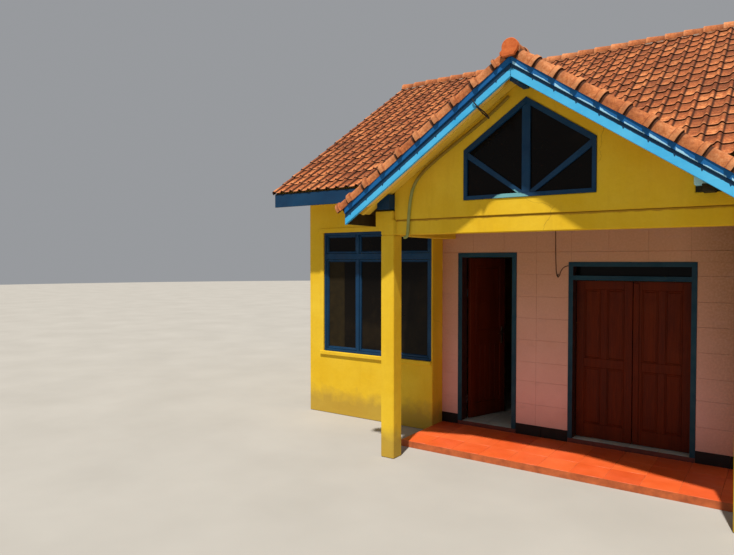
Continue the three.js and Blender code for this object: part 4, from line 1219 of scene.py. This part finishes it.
def bargeboards(name, face, top, bottom, material, slot):
    """A pair of boards up both rakes; top and bottom are their depths below the deck's top."""
    bm = bmesh.new()
    for side, edge in ((-1, PORCH_BOARD[0].x), (1, PORCH_BOARD[1].x)):
        inner = PORCH_X + side * MITRE
        ends = ((inner, top), (edge, top), (edge, bottom), (inner, bottom))
        add_prism(bm, [(x, porch_top(x) - drop) for x, drop in ends], at(0, face, 0).y, PORCH_BOARD[1].y)
    rise, phase, sunny = (bm.verts.layers.float.new(label) for label in ("rise", "phase", "sunny"))
    for vert in bm.verts:
        side, low_run, step = VERGE_ROWS["right" if vert.co.x > PORCH_X else "left"][:3]
        run = abs(vert.co.x - PORCH_X) / math.cos(PORCH_PITCH)
        vert[rise] = vert.co.z - porch_top(vert.co.x) + bottom
        vert[phase] = (low_run - run) / step
        vert[sunny] = float(side > 0)
    show("bargeboards_" + name, bm, material, slot, replaces=("porch_bargeboard_" + name,))


LOWER_BOARD_TOP = UPPER_BOARD_BOTTOM + 0.0005
# The lower boards carry a painted shadow along their top, the upper ones a painted sunlit strip
bargeboards("lower", -1.816, LOWER_BOARD_TOP, LOWER_BOARD_BOTTOM, "light_blue_x", "light_blue_paint")
bargeboards("upper", -1.828, 0.0, UPPER_BOARD_BOTTOM, "middle_blue_x", "dark_blue_paint")
print("bargeboards: two pairs")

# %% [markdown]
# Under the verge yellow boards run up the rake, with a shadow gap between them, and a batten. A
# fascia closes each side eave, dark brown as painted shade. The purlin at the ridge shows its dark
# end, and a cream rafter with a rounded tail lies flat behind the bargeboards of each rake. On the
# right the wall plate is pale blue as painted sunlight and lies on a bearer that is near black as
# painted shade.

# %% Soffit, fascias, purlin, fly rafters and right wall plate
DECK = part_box("porch_roof_deck")
DECK_DEPTH = 0.08
SOFFIT_FRONT = PORCH_BOARD[1].y + 0.001
SOFFIT_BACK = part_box("gable_wall")[0].y - 0.002
SOFFIT_BOARDS = 3
SOFFIT_SKIN = 0.012
SOFFIT_GAP = 0.004
BATTEN_PLACE = 0.16
BATTEN = 0.045
BATTEN_DEPTH = 0.035
FASCIA = 0.022
PURLIN_HALF = 0.03
PURLIN_TOP = PORCH_APEX - 0.115
PLATE_LIFT = 0.05
FLY_RAFTER_WIDTH = 0.055
# Down the slope from the ridge, and out of it
FLY_RAFTER = (
    (0.10, -0.068), (2.050, -0.068), (2.052, -0.092), (2.040, -0.116), (2.015, -0.137), (1.975, -0.150),
    (1.920, -0.156), (0.235, -0.156), (0.10, -0.100),
)

soffit, fascias, purlin, rafters, plate, bearer = (bmesh.new() for _ in range(6))
width = (SOFFIT_BACK - SOFFIT_FRONT) / SOFFIT_BOARDS
drop = DECK_DEPTH * math.cos(PORCH_PITCH)
for side, edge in ((-1, DECK[0].x), (1, DECK[1].x)):
    rake = rake_matrix(side)
    length = abs(edge - PORCH_X) / math.cos(PORCH_PITCH)
    for k in range(SOFFIT_BOARDS):
        y = SOFFIT_FRONT + k * width + SOFFIT_GAP / 2
        low, high = (0.055, y, -drop - SOFFIT_SKIN), (length, y + width - SOFFIT_GAP, -drop)
        add_bar(soffit, low, high, 0.002, matrix=rake)
    y, under = SOFFIT_FRONT + BATTEN_PLACE, -drop - SOFFIT_SKIN + 0.002
    add_bar(soffit, (0.09, y, under - BATTEN_DEPTH), (length - 0.02, y + BATTEN, under), matrix=rake)
    outer = edge - side * 0.004
    inner, foot = outer - side * FASCIA, porch_top(outer) - LOWER_BOARD_BOTTOM + 0.004
    add_prism(fascias, [(outer, foot), (inner, foot), (inner, porch_top(inner) - DECK_DEPTH),
                        (outer, porch_top(outer) - DECK_DEPTH)], SOFFIT_FRONT, WALL_FRONT - 0.002)
    tail = [rake @ Vector((x, 0, z)) for x, z in FLY_RAFTER]
    add_prism(rafters, [(p.x, p.z) for p in tail], SOFFIT_FRONT, SOFFIT_FRONT + FLY_RAFTER_WIDTH, 0.004)
add_bar(purlin, (PORCH_X - PURLIN_HALF, SOFFIT_FRONT + 0.02, PURLIN_TOP - 0.10),
        (PORCH_X + PURLIN_HALF, SOFFIT_BACK + 0.003, PURLIN_TOP), 0.004)

low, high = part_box("wall_plate_right")
foot = low.z + PLATE_LIFT
outer_top, inner_top = (min(high.z, porch_top(x) - DECK_DEPTH - 0.001) for x in (high.x, low.x))
add_prism(plate, [(low.x, foot), (high.x, foot), (high.x, outer_top), (low.x, inner_top)], low.y, high.y)
add_bar(bearer, (low.x, SOFFIT_BACK, low.z), (high.x, high.y, foot - 0.0005), 0.002)
add_bar(bearer, (low.x + 0.06, low.y - 0.05, low.z - 0.012), (high.x - 0.045, SOFFIT_BACK, foot - 0.001))

show("soffit_boards", soffit, "soffit_yellow_x", "yellow_roof_wood")
# The fascias are dark brown as painted shade
show("porch_fascias", fascias, "dark_boards_y", "dark_blue_paint")
show("ridge_purlin", purlin, "dark_blue_y", "dark_blue_paint")
show("fly_rafters", rafters, "rafter_cream_x", "yellow_roof_wood")
# The right plate is pale as painted sunlight, its bearer near black as painted shade
show("right_plate", plate, "plate_blue_x", "dark_blue_paint", replaces=("wall_plate_right",))
show("right_bearer", bearer, "bearer_wood", "dark_blue_paint")
print("soffit, fascias, purlin, fly rafters and right plate")

# %% [markdown]
# ## Plastered walls
# Trowelled corners are never sharp. The walls, columns and the ring of beams are copies of the
# frame's solids with rounded arrises. A raised plaster band frames each window, except on the
# side where a front window meets the porch.

# %% Walls, columns, beams and window bands
YELLOW = ("weathered_yellow_wash", "yellow_plaster")
WALLS = ("front_wall_left", "front_wall_right", "end_wall_left", "end_wall_right", "rear_wall", "gable_wall")
ease_nodes(WALLS, *YELLOW, 0.006, seams=[corner.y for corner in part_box("end_wall_left")])
ease_nodes(("column_left", "column_right", "porch_beams"), *YELLOW, 0.007, 3)
for part in ("left", "middle", "right", "over_doors"):
    paint_node("porch_wall_" + part, "old_pink_wash")

BAND = 0.062
BAND_PROUD = 0.010
BAND_DEEP = 0.004
SILL_PROUD = 0.012
SILL_DEPTH = 0.05
WINDOWS = {name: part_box(name) for name in (
    "front_window_left", "front_window_right", "rear_window_left", "rear_window_right")}

bands = bmesh.new()
for name, (low, high) in WINDOWS.items():
    out, wall = (-1, WALL_FRONT) if name.startswith("front") else (1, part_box("rear_wall")[1].y)
    left, right = (BAND * (name != "front_window_" + side) for side in ("right", "left"))
    x0, x1 = low.x - left, high.x + right
    y0, y1 = sorted((wall + out * BAND_PROUD, wall - out * BAND_DEEP))
    s0, s1 = sorted((wall + out * (BAND_PROUD + SILL_PROUD), wall - out * BAND_DEEP))
    add_bar(bands, (x0, y0, high.z), (x1, y1, high.z + BAND))
    add_bar(bands, (x0, s0, low.z - SILL_DEPTH), (x1, s1, low.z), 0.004)
    for a, b in ((x0, low.x), (high.x, x1)):
        if b > a:
            add_bar(bands, (a, y0, low.z), (b, y1, high.z))
show("window_bands", bands, *YELLOW)

# %% [markdown]
# ## The scored wall
# The wall behind the porch is scored into courses about a quarter of a metre high, to look like
# blocks. Each block is a thin slab with eased edges in front of the wall, and the hairlines
# between them are real gaps. Blocks, and the dark skirting below, stop where a door frame stands.

# %% Scored blocks, skirting and threshold
COURSES_Z = (0.128, 0.375, 0.643, 0.87, 1.13, 1.386, 1.64, 1.90, 2.16, 2.42, 2.68)
BLOCK_LENGTH = 0.40
BLOCK_JOINT_X = -0.39
BLOCK_LEAST = 0.03
MOST_BLOCKS = 12
SCORE = 0.0035
HAIRLINE = 0.0012
BLOCK_PROUD = 0.004
SKIRTING_TOP = 0.127
SKIRTING_TILE = 0.30
THRESHOLD_TOP = 0.0505
DOORS = [[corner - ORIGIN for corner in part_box(name)] for name in ("entry_door_frame", "double_door_frame")]
ENTRY_X, DOUBLE_X = ((low.x, high.x) for low, high in DOORS)
WALL_X = tuple(corner.x - ORIGIN.x for corner in PORCH_FLOOR)
WALL_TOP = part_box("porch_wall_over_doors")[1].z - ORIGIN.z


def free_spans(z):
    """Stretches of the wall that no door frame takes up just above a height."""
    spans = [WALL_X]
    for low, high in DOORS:
        if z < high.z - 0.001:
            parts = [part for a, b in spans for part in ((a, min(b, low.x)), (max(a, high.x), b))]
            spans = [(a, b) for a, b in parts if b - a > 0.005]
    return spans


blocks, skirting, thresholds = (bmesh.new() for _ in range(3))
heights = sorted({*COURSES_Z, WALL_TOP, *(high.z for _, high in DOORS)})
for z0, z1 in zip(heights, heights[1:]):
    gap_low, gap_high = (SCORE / 2 if z in COURSES_Z else 0 for z in (z0, z1))
    for x0, x1 in free_spans(z0):
        first = math.floor((x0 - BLOCK_JOINT_X) / BLOCK_LENGTH)
        joints = [BLOCK_JOINT_X + BLOCK_LENGTH * k for k in range(first, first + MOST_BLOCKS)]
        cuts = [x0, *[j for j in joints if x0 + BLOCK_LEAST < j < x1 - BLOCK_LEAST], x1]
        for a, b in zip(cuts, cuts[1:]):
            add_bar(blocks, at(a + HAIRLINE / 2, -BLOCK_PROUD, z0 + gap_low),
                    at(b - HAIRLINE / 2, 0.002, z1 - gap_high), 0.0011)
for x0, x1 in free_spans(0.0):
    tiles = max(1, round((x1 - x0) / SKIRTING_TILE))
    width = (x1 - x0) / tiles
    for a in (x0 + width * k for k in range(tiles)):
        add_bar(skirting, at(a + 0.001, -0.009, 0.001), at(a + width - 0.001, 0.002, SKIRTING_TOP), 0.002)
for a, b in (ENTRY_X, DOUBLE_X):
    add_bar(thresholds, at(a + 0.002, -0.012, 0.001), at(b - 0.002, 0.02, THRESHOLD_TOP))
show("scored_blocks", blocks, "old_pink_wash", "pink_plaster")
show("skirting_tiles", skirting, "skirting_tile", "pink_plaster")
show("door_thresholds", thresholds, "threshold_tile", "red_floor_tile")
print("scored wall in", len(heights) - 1, "courses, skirting and thresholds")

# %% [markdown]
# ## Floors
# Both floors are square tiles that lie a little proud of their bed, so the joints are real grooves.
# The porch's bed is its brick-red slab, the rooms' is grout. The course tree lays them too, which
# also gives every tile its own tone.

# %% Porch and room floors
JOINT = 0.004
TILE_DEPTH = 0.010
TILE_PROUD = 0.003
FIELD_MARGIN = 0.001
DOOR_JAMB = 0.05
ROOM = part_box("house_floor")


def floor_field(name, low, high, top, size, material, seed, slot):
    """A field of tiles between two corners in plan, as near to size as whole tiles allow."""
    columns, courses = (max(1, round((high[i] - low[i]) / size)) for i in (0, 1))
    step_x, step_y = (high[0] - low[0]) / columns, (high[1] - low[1]) / courses
    bm = bmesh.new()
    half = (size - JOINT) / 2
    add_bar(bm, (-half, -half, -TILE_DEPTH), (half, half, 0), 0.0015)
    tile = mesh_from(bm)
    tile.transform(Matrix.Diagonal((step_x / size, step_y / size, 1, 1)))
    start = (low[0] + step_x / 2, low[1] + step_y / 2, top + TILE_PROUD)
    steps = ((step_x, 0, 0), (0, step_y, 0))
    mesh = lay(tile, material, columns, courses, start, *steps, seed, shift=0.0, tilt=0.0)
    show(name, mesh, material, slot)


paint_node("porch_floor", "riser_brick")
paint_node("house_floor", "floor_grout")
margin = Vector((FIELD_MARGIN, FIELD_MARGIN, 0))
floor_field("porch_floor_tiles", PORCH_FLOOR[0] + margin, PORCH_FLOOR[1] - margin, PORCH_FLOOR[1].z, 0.33,
            "red_floor_glaze", 61, "red_floor_tile")
floor_field("room_floor_tiles", (ROOM[0].x, WALL_BACK + FIELD_MARGIN), ROOM[1], ROOM[1].z, 0.40,
            "grey_floor_glaze", 62, "grey_floor_tile")
for name, (a, b), seed in (("entry", ENTRY_X, 63), ("double", DOUBLE_X, 64)):
    low, high_x = at(a + DOOR_JAMB, 0.006, 0), at(b - DOOR_JAMB, 0, 0).x
    floor_field(name + "_sill_tiles", low, (high_x, WALL_BACK), ROOM[1].z, 0.3,
                "grey_floor_glaze", seed, "grey_floor_tile")
print("floors laid")

# %% [markdown]
# ## Windows
# A window is a fixed outer frame with three tall casements and a small top light over each. Every
# casement is a frame of its own, set back a little, with a thin shadow gap around it and a glazing
# bead round its pane. Building the real members, rather than one board with holes, gives all the
# fine lines that the photograph shows.

# %% Bars, frames and casements
FRAME_BAR = 0.036
SASH_BAR = 0.034
SASH_GAP = 0.0025
BEAD_BAR = 0.008
# How far behind the window's face each begins and ends
FRAME_DEPTHS = (0, 0.058)
BAR_DEPTHS = (0.001, 0.058)
SASH_DEPTHS = (0.010, 0.048)
BEAD_DEPTHS = (0.020, 0.040)
PANE_DEPTHS = (0.030, 0.034)
RAIL_LOW = 2.042
RAIL_HIGH = 2.189
JAMB = 0.070
MULLION = 0.104


def add_frame(bm, low, high, width, y0, y1, bevel=0.0025):
    """A rectangular frame of four bars in the XZ plane between two depths; stiles run through."""
    (x0, z0), (x1, z1) = low, high
    for a, b in (((x0, z0), (x0 + width, z1)), ((x1 - width, z0), (x1, z1)),
                 ((x0 + width, z0), (x1 - width, z0 + width)), ((x0 + width, z1 - width), (x1 - width, z1))):
        add_bar(bm, (a[0], y0, a[1]), (b[0], y1, b[1]), bevel)


def light_width(low, high):
    """Clear width of one of the three lights of a window."""
    return (high.x - low.x - 2 * JAMB - 2 * MULLION) / 3


def window(name, low, high):
    """Timber and panes of one window, whose face looks towards -Y at the front and +Y at the rear."""
    face, inward = (low.y, 1) if name.startswith("front") else (high.y, -1)

    def depths(near, far):
        return sorted((face + inward * near, face + inward * far))

    wood, panes = bmesh.new(), bmesh.new()
    x0, x1, z0, z1 = low.x, high.x, low.z, high.z
    add_frame(wood, (x0, z0), (x1, z1), FRAME_BAR, *depths(*FRAME_DEPTHS))
    clear = light_width(low, high)
    rail0, rail1 = ORIGIN.z + RAIL_LOW + SASH_BAR, ORIGIN.z + RAIL_HIGH - SASH_BAR
    y0, y1 = depths(*BAR_DEPTHS)
    add_bar(wood, (x0 + FRAME_BAR, y0, rail0), (x1 - FRAME_BAR, y1, rail1), 0.0025)
    for k in range(2):
        a = x0 + JAMB + clear * (k + 1) + MULLION * k + SASH_BAR
        for s0, s1 in ((z0 + FRAME_BAR, rail0), (rail1, z1 - FRAME_BAR)):
            add_bar(wood, (a, y0, s0), (a + MULLION - 2 * SASH_BAR, y1, s1), 0.0025)
    bar = SASH_BAR - SASH_GAP - BEAD_BAR
    near, far = depths(*PANE_DEPTHS)
    for k in range(3):
        a = x0 + JAMB + (clear + MULLION) * k - SASH_BAR + SASH_GAP
        b = a + clear + 2 * (SASH_BAR - SASH_GAP)
        for s0, s1 in ((z0 + FRAME_BAR, rail0), (rail1, z1 - FRAME_BAR)):
            add_frame(wood, (a, s0 + SASH_GAP), (b, s1 - SASH_GAP), bar, *depths(*SASH_DEPTHS), 0.003)
            c, d, p0, p1 = a + bar, b - bar, s0 + SASH_GAP + bar, s1 - SASH_GAP - bar
            add_frame(wood, (c, p0), (d, p1), BEAD_BAR, *depths(*BEAD_DEPTHS), 0.003)
            add_bar(panes, (c, near, p0), (d, far, p1), 0)
    show(name + "_wood", wood, "dark_blue_z", "dark_blue_paint", replaces=(name,))
    show(name + "_panes", panes, "dark_room_glass", "dark_glass", replaces=(name.replace("window", "glass"),))


for name, (low, high) in WINDOWS.items():
    window(name, low, high)
print("windows:", ", ".join(WINDOWS))

# The edge of a curtain shows in the first light of the left front window. The dark glass is
# opaque, so the strip lies just in front of it
CURTAIN_SHARE = 0.58
CURTAIN_DEPTH = 0.0285
curtain = bmesh.new()
low, high = WINDOWS["front_window_left"]
x0, y = low.x + JAMB, low.y + CURTAIN_DEPTH
x1 = x0 + CURTAIN_SHARE * light_width(low, high)
add_bar(curtain, (x0 + 0.001, y, low.z + JAMB), (x1, y + 0.001, ORIGIN.z + RAIL_LOW), 0)
show("curtain_strip", curtain, "dim_curtain", "dark_glass")

# %% [markdown]
# ## Gable window
# The pentagon in the gable has a mitred rim, a king post and two braces that fan out from its
# foot. The rim keeps the frame's outline. The other members are flat bars, each set back a little
# from the last, in front of one dark sheet of glass.

# %% Gable window
GABLE_LOW, GABLE_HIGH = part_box("gable_window")
GABLE_EAVE = 3.145
HALF_POST = 0.040
SILL_TOP = 2.693
INNER_RIM = ((-0.598, SILL_TOP), (0.598, SILL_TOP), (0.598, 3.110), (0.0, 3.519), (-0.598, 3.110))
POST_TOP = 3.4916
KING_POST = (
    (-HALF_POST, SILL_TOP), (HALF_POST, SILL_TOP), (HALF_POST, POST_TOP), (0.0, 3.519),
    (-HALF_POST, POST_TOP))
BRACE = ((0.084, SILL_TOP), (0.598, 3.060), (0.598, 3.110), (0.585, 3.119), (0.040, 2.712), (0.040, SILL_TOP))
PANE_GROWTH = 1.01
PANE_MIDDLE = 3.05


def placed(points, side=1):
    """Points of the XZ plane given from the porch's own origin; side -1 mirrors them."""
    return [(ORIGIN.x + side * x, ORIGIN.z + z) for x, z in points]


wood, panes = bmesh.new(), bmesh.new()
front, back = GABLE_LOW.y, GABLE_HIGH.y
eave_z = ORIGIN.z + GABLE_EAVE
left, right = GABLE_LOW.x, GABLE_HIGH.x
rim = [(left, GABLE_LOW.z), (right, GABLE_LOW.z), (right, eave_z), (ORIGIN.x, GABLE_HIGH.z), (left, eave_z)]
inner_rim = placed(INNER_RIM)
for k in range(-1, 4):
    add_prism(wood, [rim[k], rim[k + 1], inner_rim[k + 1], inner_rim[k]], front, back, 0.002)
add_prism(wood, placed(KING_POST), front + 0.003, back, 0.003)
for side in (-1, 1):
    add_prism(wood, placed(BRACE, side), front + 0.006, back, 0.003)
pane = [(x * PANE_GROWTH, PANE_MIDDLE + (z - PANE_MIDDLE) * PANE_GROWTH) for x, z in INNER_RIM]
add_prism(panes, placed(pane), front + 0.028, front + 0.032, 0)
# The foot of the king post carries a painted patch of sunlight
show("gable_window_wood", wood, "gable_blue_z", "dark_blue_paint", replaces=("gable_window",))
show("gable_window_pane", panes, "dark_room_glass", "dark_glass", replaces=("gable_glass",))
paint_node("transom_glass", "dark_room_glass")
print("gable window: rim, post and two braces")

# %% [markdown]
# ## Doors
# Stout blue posts stand round each doorway, proud of the wall; they are the frame's solids with
# eased edges. The entry leaf is framed and boarded: stiles and rails round a raised upper panel
# and vertical boards below. The two leaves of the double door have raised panels with sunk borders.
# Every leaf is drawn shut, and the entry leaf is then turned open about its hinge pin, just as its
# solid in the frame stands.

# %% Door frames and leaf kit
# The posts' sideways faces, their reveals, are darkened as painted shade
ease_nodes(("entry_door_frame", "double_door_frame"), "door_blue_z", "dark_blue_paint", 0.004)

LEAF_SKIN = 0.038
PANEL_SUNK = 0.012
PANEL_FIELD = 0.003
PANEL_SLOPE = 0.028
MOULDING = 0.014
HINGE_HEIGHTS = (0.301, 1.651)
KNUCKLE = 0.05
KNUCKLE_RADIUS = 0.0078
PIN_Y = 0.1433


def add_rod(bm, place, low, high, length, segments, turn=Matrix()):
    """A rod about a place, along Z before it is turned; low and high are the radii of its ends."""
    rod = bmesh.ops.create_cone(bm, cap_ends=True, segments=segments, radius1=low, radius2=high, depth=length)
    bmesh.ops.transform(bm, matrix=Matrix.Translation(place) @ turn, verts=rod["verts"])


def add_panel(bm, x0, x1, z0, z1, y0, y1):
    """A raised panel on both faces: a sunk border that slopes up to a field, and a moulding round it."""
    for face, out in ((y0, -1), (y1, 1)):
        rings = []
        sunk, field = face - out * PANEL_SUNK, face - out * PANEL_FIELD
        for inset, y in ((0, (y0 + y1) / 2), (0, sunk), (PANEL_SLOPE, field)):
            a, b, c, d = x0 + inset, x1 - inset, z0 + inset, z1 - inset
            rings.append(((a, y, c), (b, y, c), (b, y, d), (a, y, d)))
        add_rings(bm, rings)
        near, far = sorted((face - out * 0.001, face - out * 0.012))
        add_frame(bm, (x0, z0), (x1, z1), MOULDING, near, far, 0.004)


def add_leaf_frame(bm, x0, x1, z0, z1, y0, y1, stile, rails):
    """Stiles at both edges and rails at the heights given as (bottom, top)."""
    add_bar(bm, (x0, y0, z0), (x0 + stile, y1, z1))
    add_bar(bm, (x1 - stile, y0, z0), (x1, y1, z1))
    for a, b in rails:
        add_bar(bm, (x0 + stile, y0, a), (x1 - stile, y1, b))


def leaf_hinges(pin_x, side):
    """The leaf's halves of two butt hinges at a pin: a knuckle and a plate on the leaf's inner face."""
    bm = bmesh.new()
    for z in HINGE_HEIGHTS:
        add_rod(bm, at(pin_x, PIN_Y, z + KNUCKLE / 2), KNUCKLE_RADIUS, KNUCKLE_RADIUS, KNUCKLE, 14)
        a, b = sorted((pin_x + side * 0.005, pin_x + side * 0.038))
        add_bar(bm, at(a, 0.1352, z), at(b, 0.139, z + KNUCKLE), 0.0006)
    return mesh_from(bm, 40)


# %% Double door leaves
DOUBLE_STILE = 0.085
# Widths of the rails at the foot and head, and heights of the one between them
DOUBLE_FOOT = 0.16
DOUBLE_HEAD = 0.095
LOCK_RAIL = (0.80, 0.90)
MUNTIN_HALF = 0.035
LEAF_MARGIN = 0.016


def double_leaf(side, pin_x, inward, margins):
    """A leaf of four panels; margins are what stays free at its left and right edges."""
    name, body = "double_door_" + side + "_leaf", "double_" + side + "_leaf"
    low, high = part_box(name)
    x0, x1, z0, z1 = low.x + margins[0], high.x - margins[1], low.z, high.z
    y1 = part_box("double_door_frame")[1].y
    y0 = y1 - LEAF_SKIN
    stile, centre = DOUBLE_STILE, (x0 + x1) / 2
    rails = ((z0, z0 + DOUBLE_FOOT), (z0 + LOCK_RAIL[0], z0 + LOCK_RAIL[1]), (z1 - DOUBLE_HEAD, z1))
    bm = bmesh.new()
    add_leaf_frame(bm, x0, x1, z0, z1, y0, y1, stile, rails)
    for (_, a), (b, _) in zip(rails, rails[1:]):
        add_bar(bm, (centre - MUNTIN_HALF, y0, a), (centre + MUNTIN_HALF, y1, b))
        for p0, p1 in ((x0 + stile, centre - MUNTIN_HALF), (centre + MUNTIN_HALF, x1 - stile)):
            add_panel(bm, p0, p1, a, b, y0, y1)
    if side == "right":
        # The strip that covers the parting line
        add_bar(bm, (x0, y0 - 0.012, z0 + 0.02), (x0 + 0.058, y0, z1 - 0.02), 0.004)
    show("panelled_" + side + "_leaf", bm, "door_wood_z", "brown_door_wood", body, (name,))
    show("hinges_" + side + "_leaf", leaf_hinges(pin_x, inward), "black_iron", "brown_door_wood", body)


double_leaf("left", 0.031, 1, (LEAF_MARGIN, 0))
double_leaf("right", 1.216, -1, (0, LEAF_MARGIN))
print("double door: two leaves of four panels")

# %% Entry leaf, standing open
ENTRY_OPEN = math.radians(70)
LEAF_EDGE_GAP = 0.008
FREE_EDGE_X = -0.685
ENTRY_STILE = 0.095
ENTRY_FOOT = 0.18
ENTRY_HEAD = 0.11
ENTRY_RAIL = (0.98, 1.16)
LEAF_BOARDS = 5
LEAF_BOARD_GAP = 0.0016
ENTRY_PIN_X = -1.338
PIN = at(ENTRY_PIN_X, PIN_Y, 0)
HANDLE_INSET = 0.060
HANDLE_HEIGHT = 1.08
HANDLE_PLATE = 0.005
# Radii of both ends, length, number of sides and turn of each rod
SPINDLE = (0.0075, 0.0065, 0.034, 16, Matrix.Rotation(math.pi / 2, 4, "X"))
LEVER = (0.0068, 0.0055, 0.105, 16, Matrix.Rotation(-math.pi / 2, 4, "Y"))


def entry_leaf():
    low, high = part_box("entry_door_leaf")
    x0, x1, z0, z1 = PIN.x + LEAF_EDGE_GAP, at(FREE_EDGE_X, 0, 0).x - LEAF_EDGE_GAP, low.z, high.z
    y1 = at(0, 0.135, 0).y
    y0 = y1 - LEAF_SKIN
    stile, (rail_low, rail_high) = ENTRY_STILE, ENTRY_RAIL
    rails = ((z0, z0 + ENTRY_FOOT), (ORIGIN.z + rail_low, ORIGIN.z + rail_high), (z1 - ENTRY_HEAD, z1))
    wood, metal = bmesh.new(), bmesh.new()
    add_leaf_frame(wood, x0, x1, z0, z1, y0, y1, stile, rails)
    width = (x1 - x0 - 2 * stile) / LEAF_BOARDS
    gap, inset = LEAF_BOARD_GAP / 2, 0.010
    for k in range(LEAF_BOARDS):
        a = x0 + stile + k * width
        add_bar(wood, (a + gap, y0 + inset, rails[0][1]), (a + width - gap, y1 - inset, rails[1][0]), 0.004)
    add_panel(wood, x0 + stile, x1 - stile, rails[1][1], rails[2][0], y0, y1)

    x, z = x1 - HANDLE_INSET, ORIGIN.z + HANDLE_HEIGHT
    for y, out in ((y0, -1), (y1, 1)):
        near, far = sorted((y, y + out * HANDLE_PLATE))
        add_bar(metal, (x - 0.018, near, z - 0.11), (x + 0.018, far, z + 0.11), 0.002, 2)
        add_rod(metal, (x, y + out * 0.022, z + 0.032), *SPINDLE)
        add_rod(metal, (x - 0.048, y + out * 0.042, z + 0.032), *LEVER)
    opened = Matrix.Translation(PIN) @ Matrix.Rotation(ENTRY_OPEN, 4, "Z") @ Matrix.Translation(-PIN)
    for part, mesh, material, replaced in (
            ("wood", mesh_from(wood), "door_wood_z", ("entry_door_leaf",)),
            ("handle", mesh_from(metal, 40), "worn_steel", ()),
            ("hinges", leaf_hinges(ENTRY_PIN_X, 1), "black_iron", ())):
        mesh.transform(opened)
        show("entry_leaf_" + part, mesh, material, "brown_door_wood", "entry_leaf", replaced)


entry_leaf()
print("entry leaf stands open by", round(math.degrees(ENTRY_OPEN)), "degrees")

# %% [markdown]
# ## Conduit and cable
# A plastic conduit comes out from under the verge near the ridge, follows the rake, bends down
# past the beam and ends in a small elbow. A thin cable hangs down the pink wall to a hook and runs
# on into the frame of the double door. Two bent wires make a bracket below the left verge.

# %% Conduit, cable, hook and bracket
def tube(name, points, radius, sides=10, rounds=3):
    """A closed tube along a smooth line through points given from the porch's own origin."""
    curve = bpy.data.curves.new(name, "CURVE")
    curve.dimensions = "3D"
    curve.bevel_depth = radius
    curve.bevel_resolution = sides // 4
    curve.use_fill_caps = True
    spline = curve.splines.new("NURBS")
    spline.points.add(len(points) - 1)
    for knot, point in zip(spline.points, points):
        knot.co = (*at(*point), 1)
    spline.order_u = 3
    spline.use_endpoint_u = True
    spline.resolution_u = rounds
    bm = bmesh.new()
    bm.from_mesh(evaluated_mesh(add_object(name, curve)))
    bmesh.ops.remove_doubles(bm, verts=bm.verts, dist=1e-6)
    bmesh.ops.recalc_face_normals(bm, faces=bm.faces)
    return mesh_from(bm, 50)


# Finish, radius and route of each, and how finely it is drawn where that matters
TUBES = {
    "conduit_pipe": ("conduit_pipe", 0.016, (
        (-0.166, -1.436, 3.605), (-0.281, -1.436, 3.510), (-0.487, -1.436, 3.368), (-0.701, -1.436, 3.236),
        (-0.924, -1.436, 3.093), (-1.070, -1.436, 2.990), (-1.160, -1.436, 2.905), (-1.212, -1.436, 2.815),
        (-1.238, -1.436, 2.715), (-1.254, -1.436, 2.600), (-1.266, -1.436, 2.460), (-1.272, -1.436, 2.350),
        (-1.276, -1.436, 2.318), (-1.292, -1.435, 2.304), (-1.318, -1.434, 2.302)), 16, 4),
    "wall_cable": ("cable_skin", 0.0045, (
        (-0.172, -0.007, 2.45), (-0.170, -0.008, 2.25), (-0.166, -0.008, 2.05), (-0.160, -0.008, 1.93),
        (-0.152, -0.010, 1.885), (-0.138, -0.010, 1.872), (-0.122, -0.010, 1.885), (-0.112, -0.009, 1.93),
        (-0.085, -0.008, 1.975), (-0.05, -0.008, 1.995), (-0.018, -0.008, 2.0))),
    "wall_hook": ("black_iron", 0.004, (
        (-0.138, -0.002, 1.905), (-0.138, -0.018, 1.900), (-0.138, -0.022, 1.885), (-0.138, -0.016, 1.868),
        (-0.138, -0.008, 1.866))),
    "verge_bracket_0": ("black_iron", 0.006, (
        (-0.352, -1.835, 3.520), (-0.336, -1.836, 3.478), (-0.290, -1.800, 3.428), (-0.262, -1.740, 3.400),
        (-0.252, -1.690, 3.360))),
    "verge_bracket_1": ("black_iron", 0.006, (
        (-0.318, -1.834, 3.452), (-0.290, -1.790, 3.410), (-0.275, -1.730, 3.385), (-0.255, -1.690, 3.360))),
}
for name, (material, radius, route, *fineness) in TUBES.items():
    replaced = ("conduit",) if name == "conduit_pipe" else ()
    show(name, tube(name, route, radius, *fineness), material, "conduit_plastic", replaces=replaced)
print("tubes:", ", ".join(TUBES))

# %% [markdown]
# ## Floor of the studio
# The house stands on a plain pale floor.

# %% Studio floor
FLOOR_RADIUS = 60


def studio_floor():
    bm = bmesh.new()
    bmesh.ops.create_circle(bm, cap_ends=True, segments=96, radius=FLOOR_RADIUS)
    mesh = bpy.data.meshes.new("studio_floor")
    bm.to_mesh(mesh)
    bm.free()
    f = Finish("pale_studio_floor", 0.9, 0.1)
    f.colour = f.ramp(f.noise(0.8, 3), "a09d97 a7a49e")
    f.done()
    paint(mesh, "pale_studio_floor")
    floor = add_object("studio_floor", mesh)
    floor.location.z = -0.001


studio_floor()
bpy.context.scene.view_settings.view_transform = "Standard"
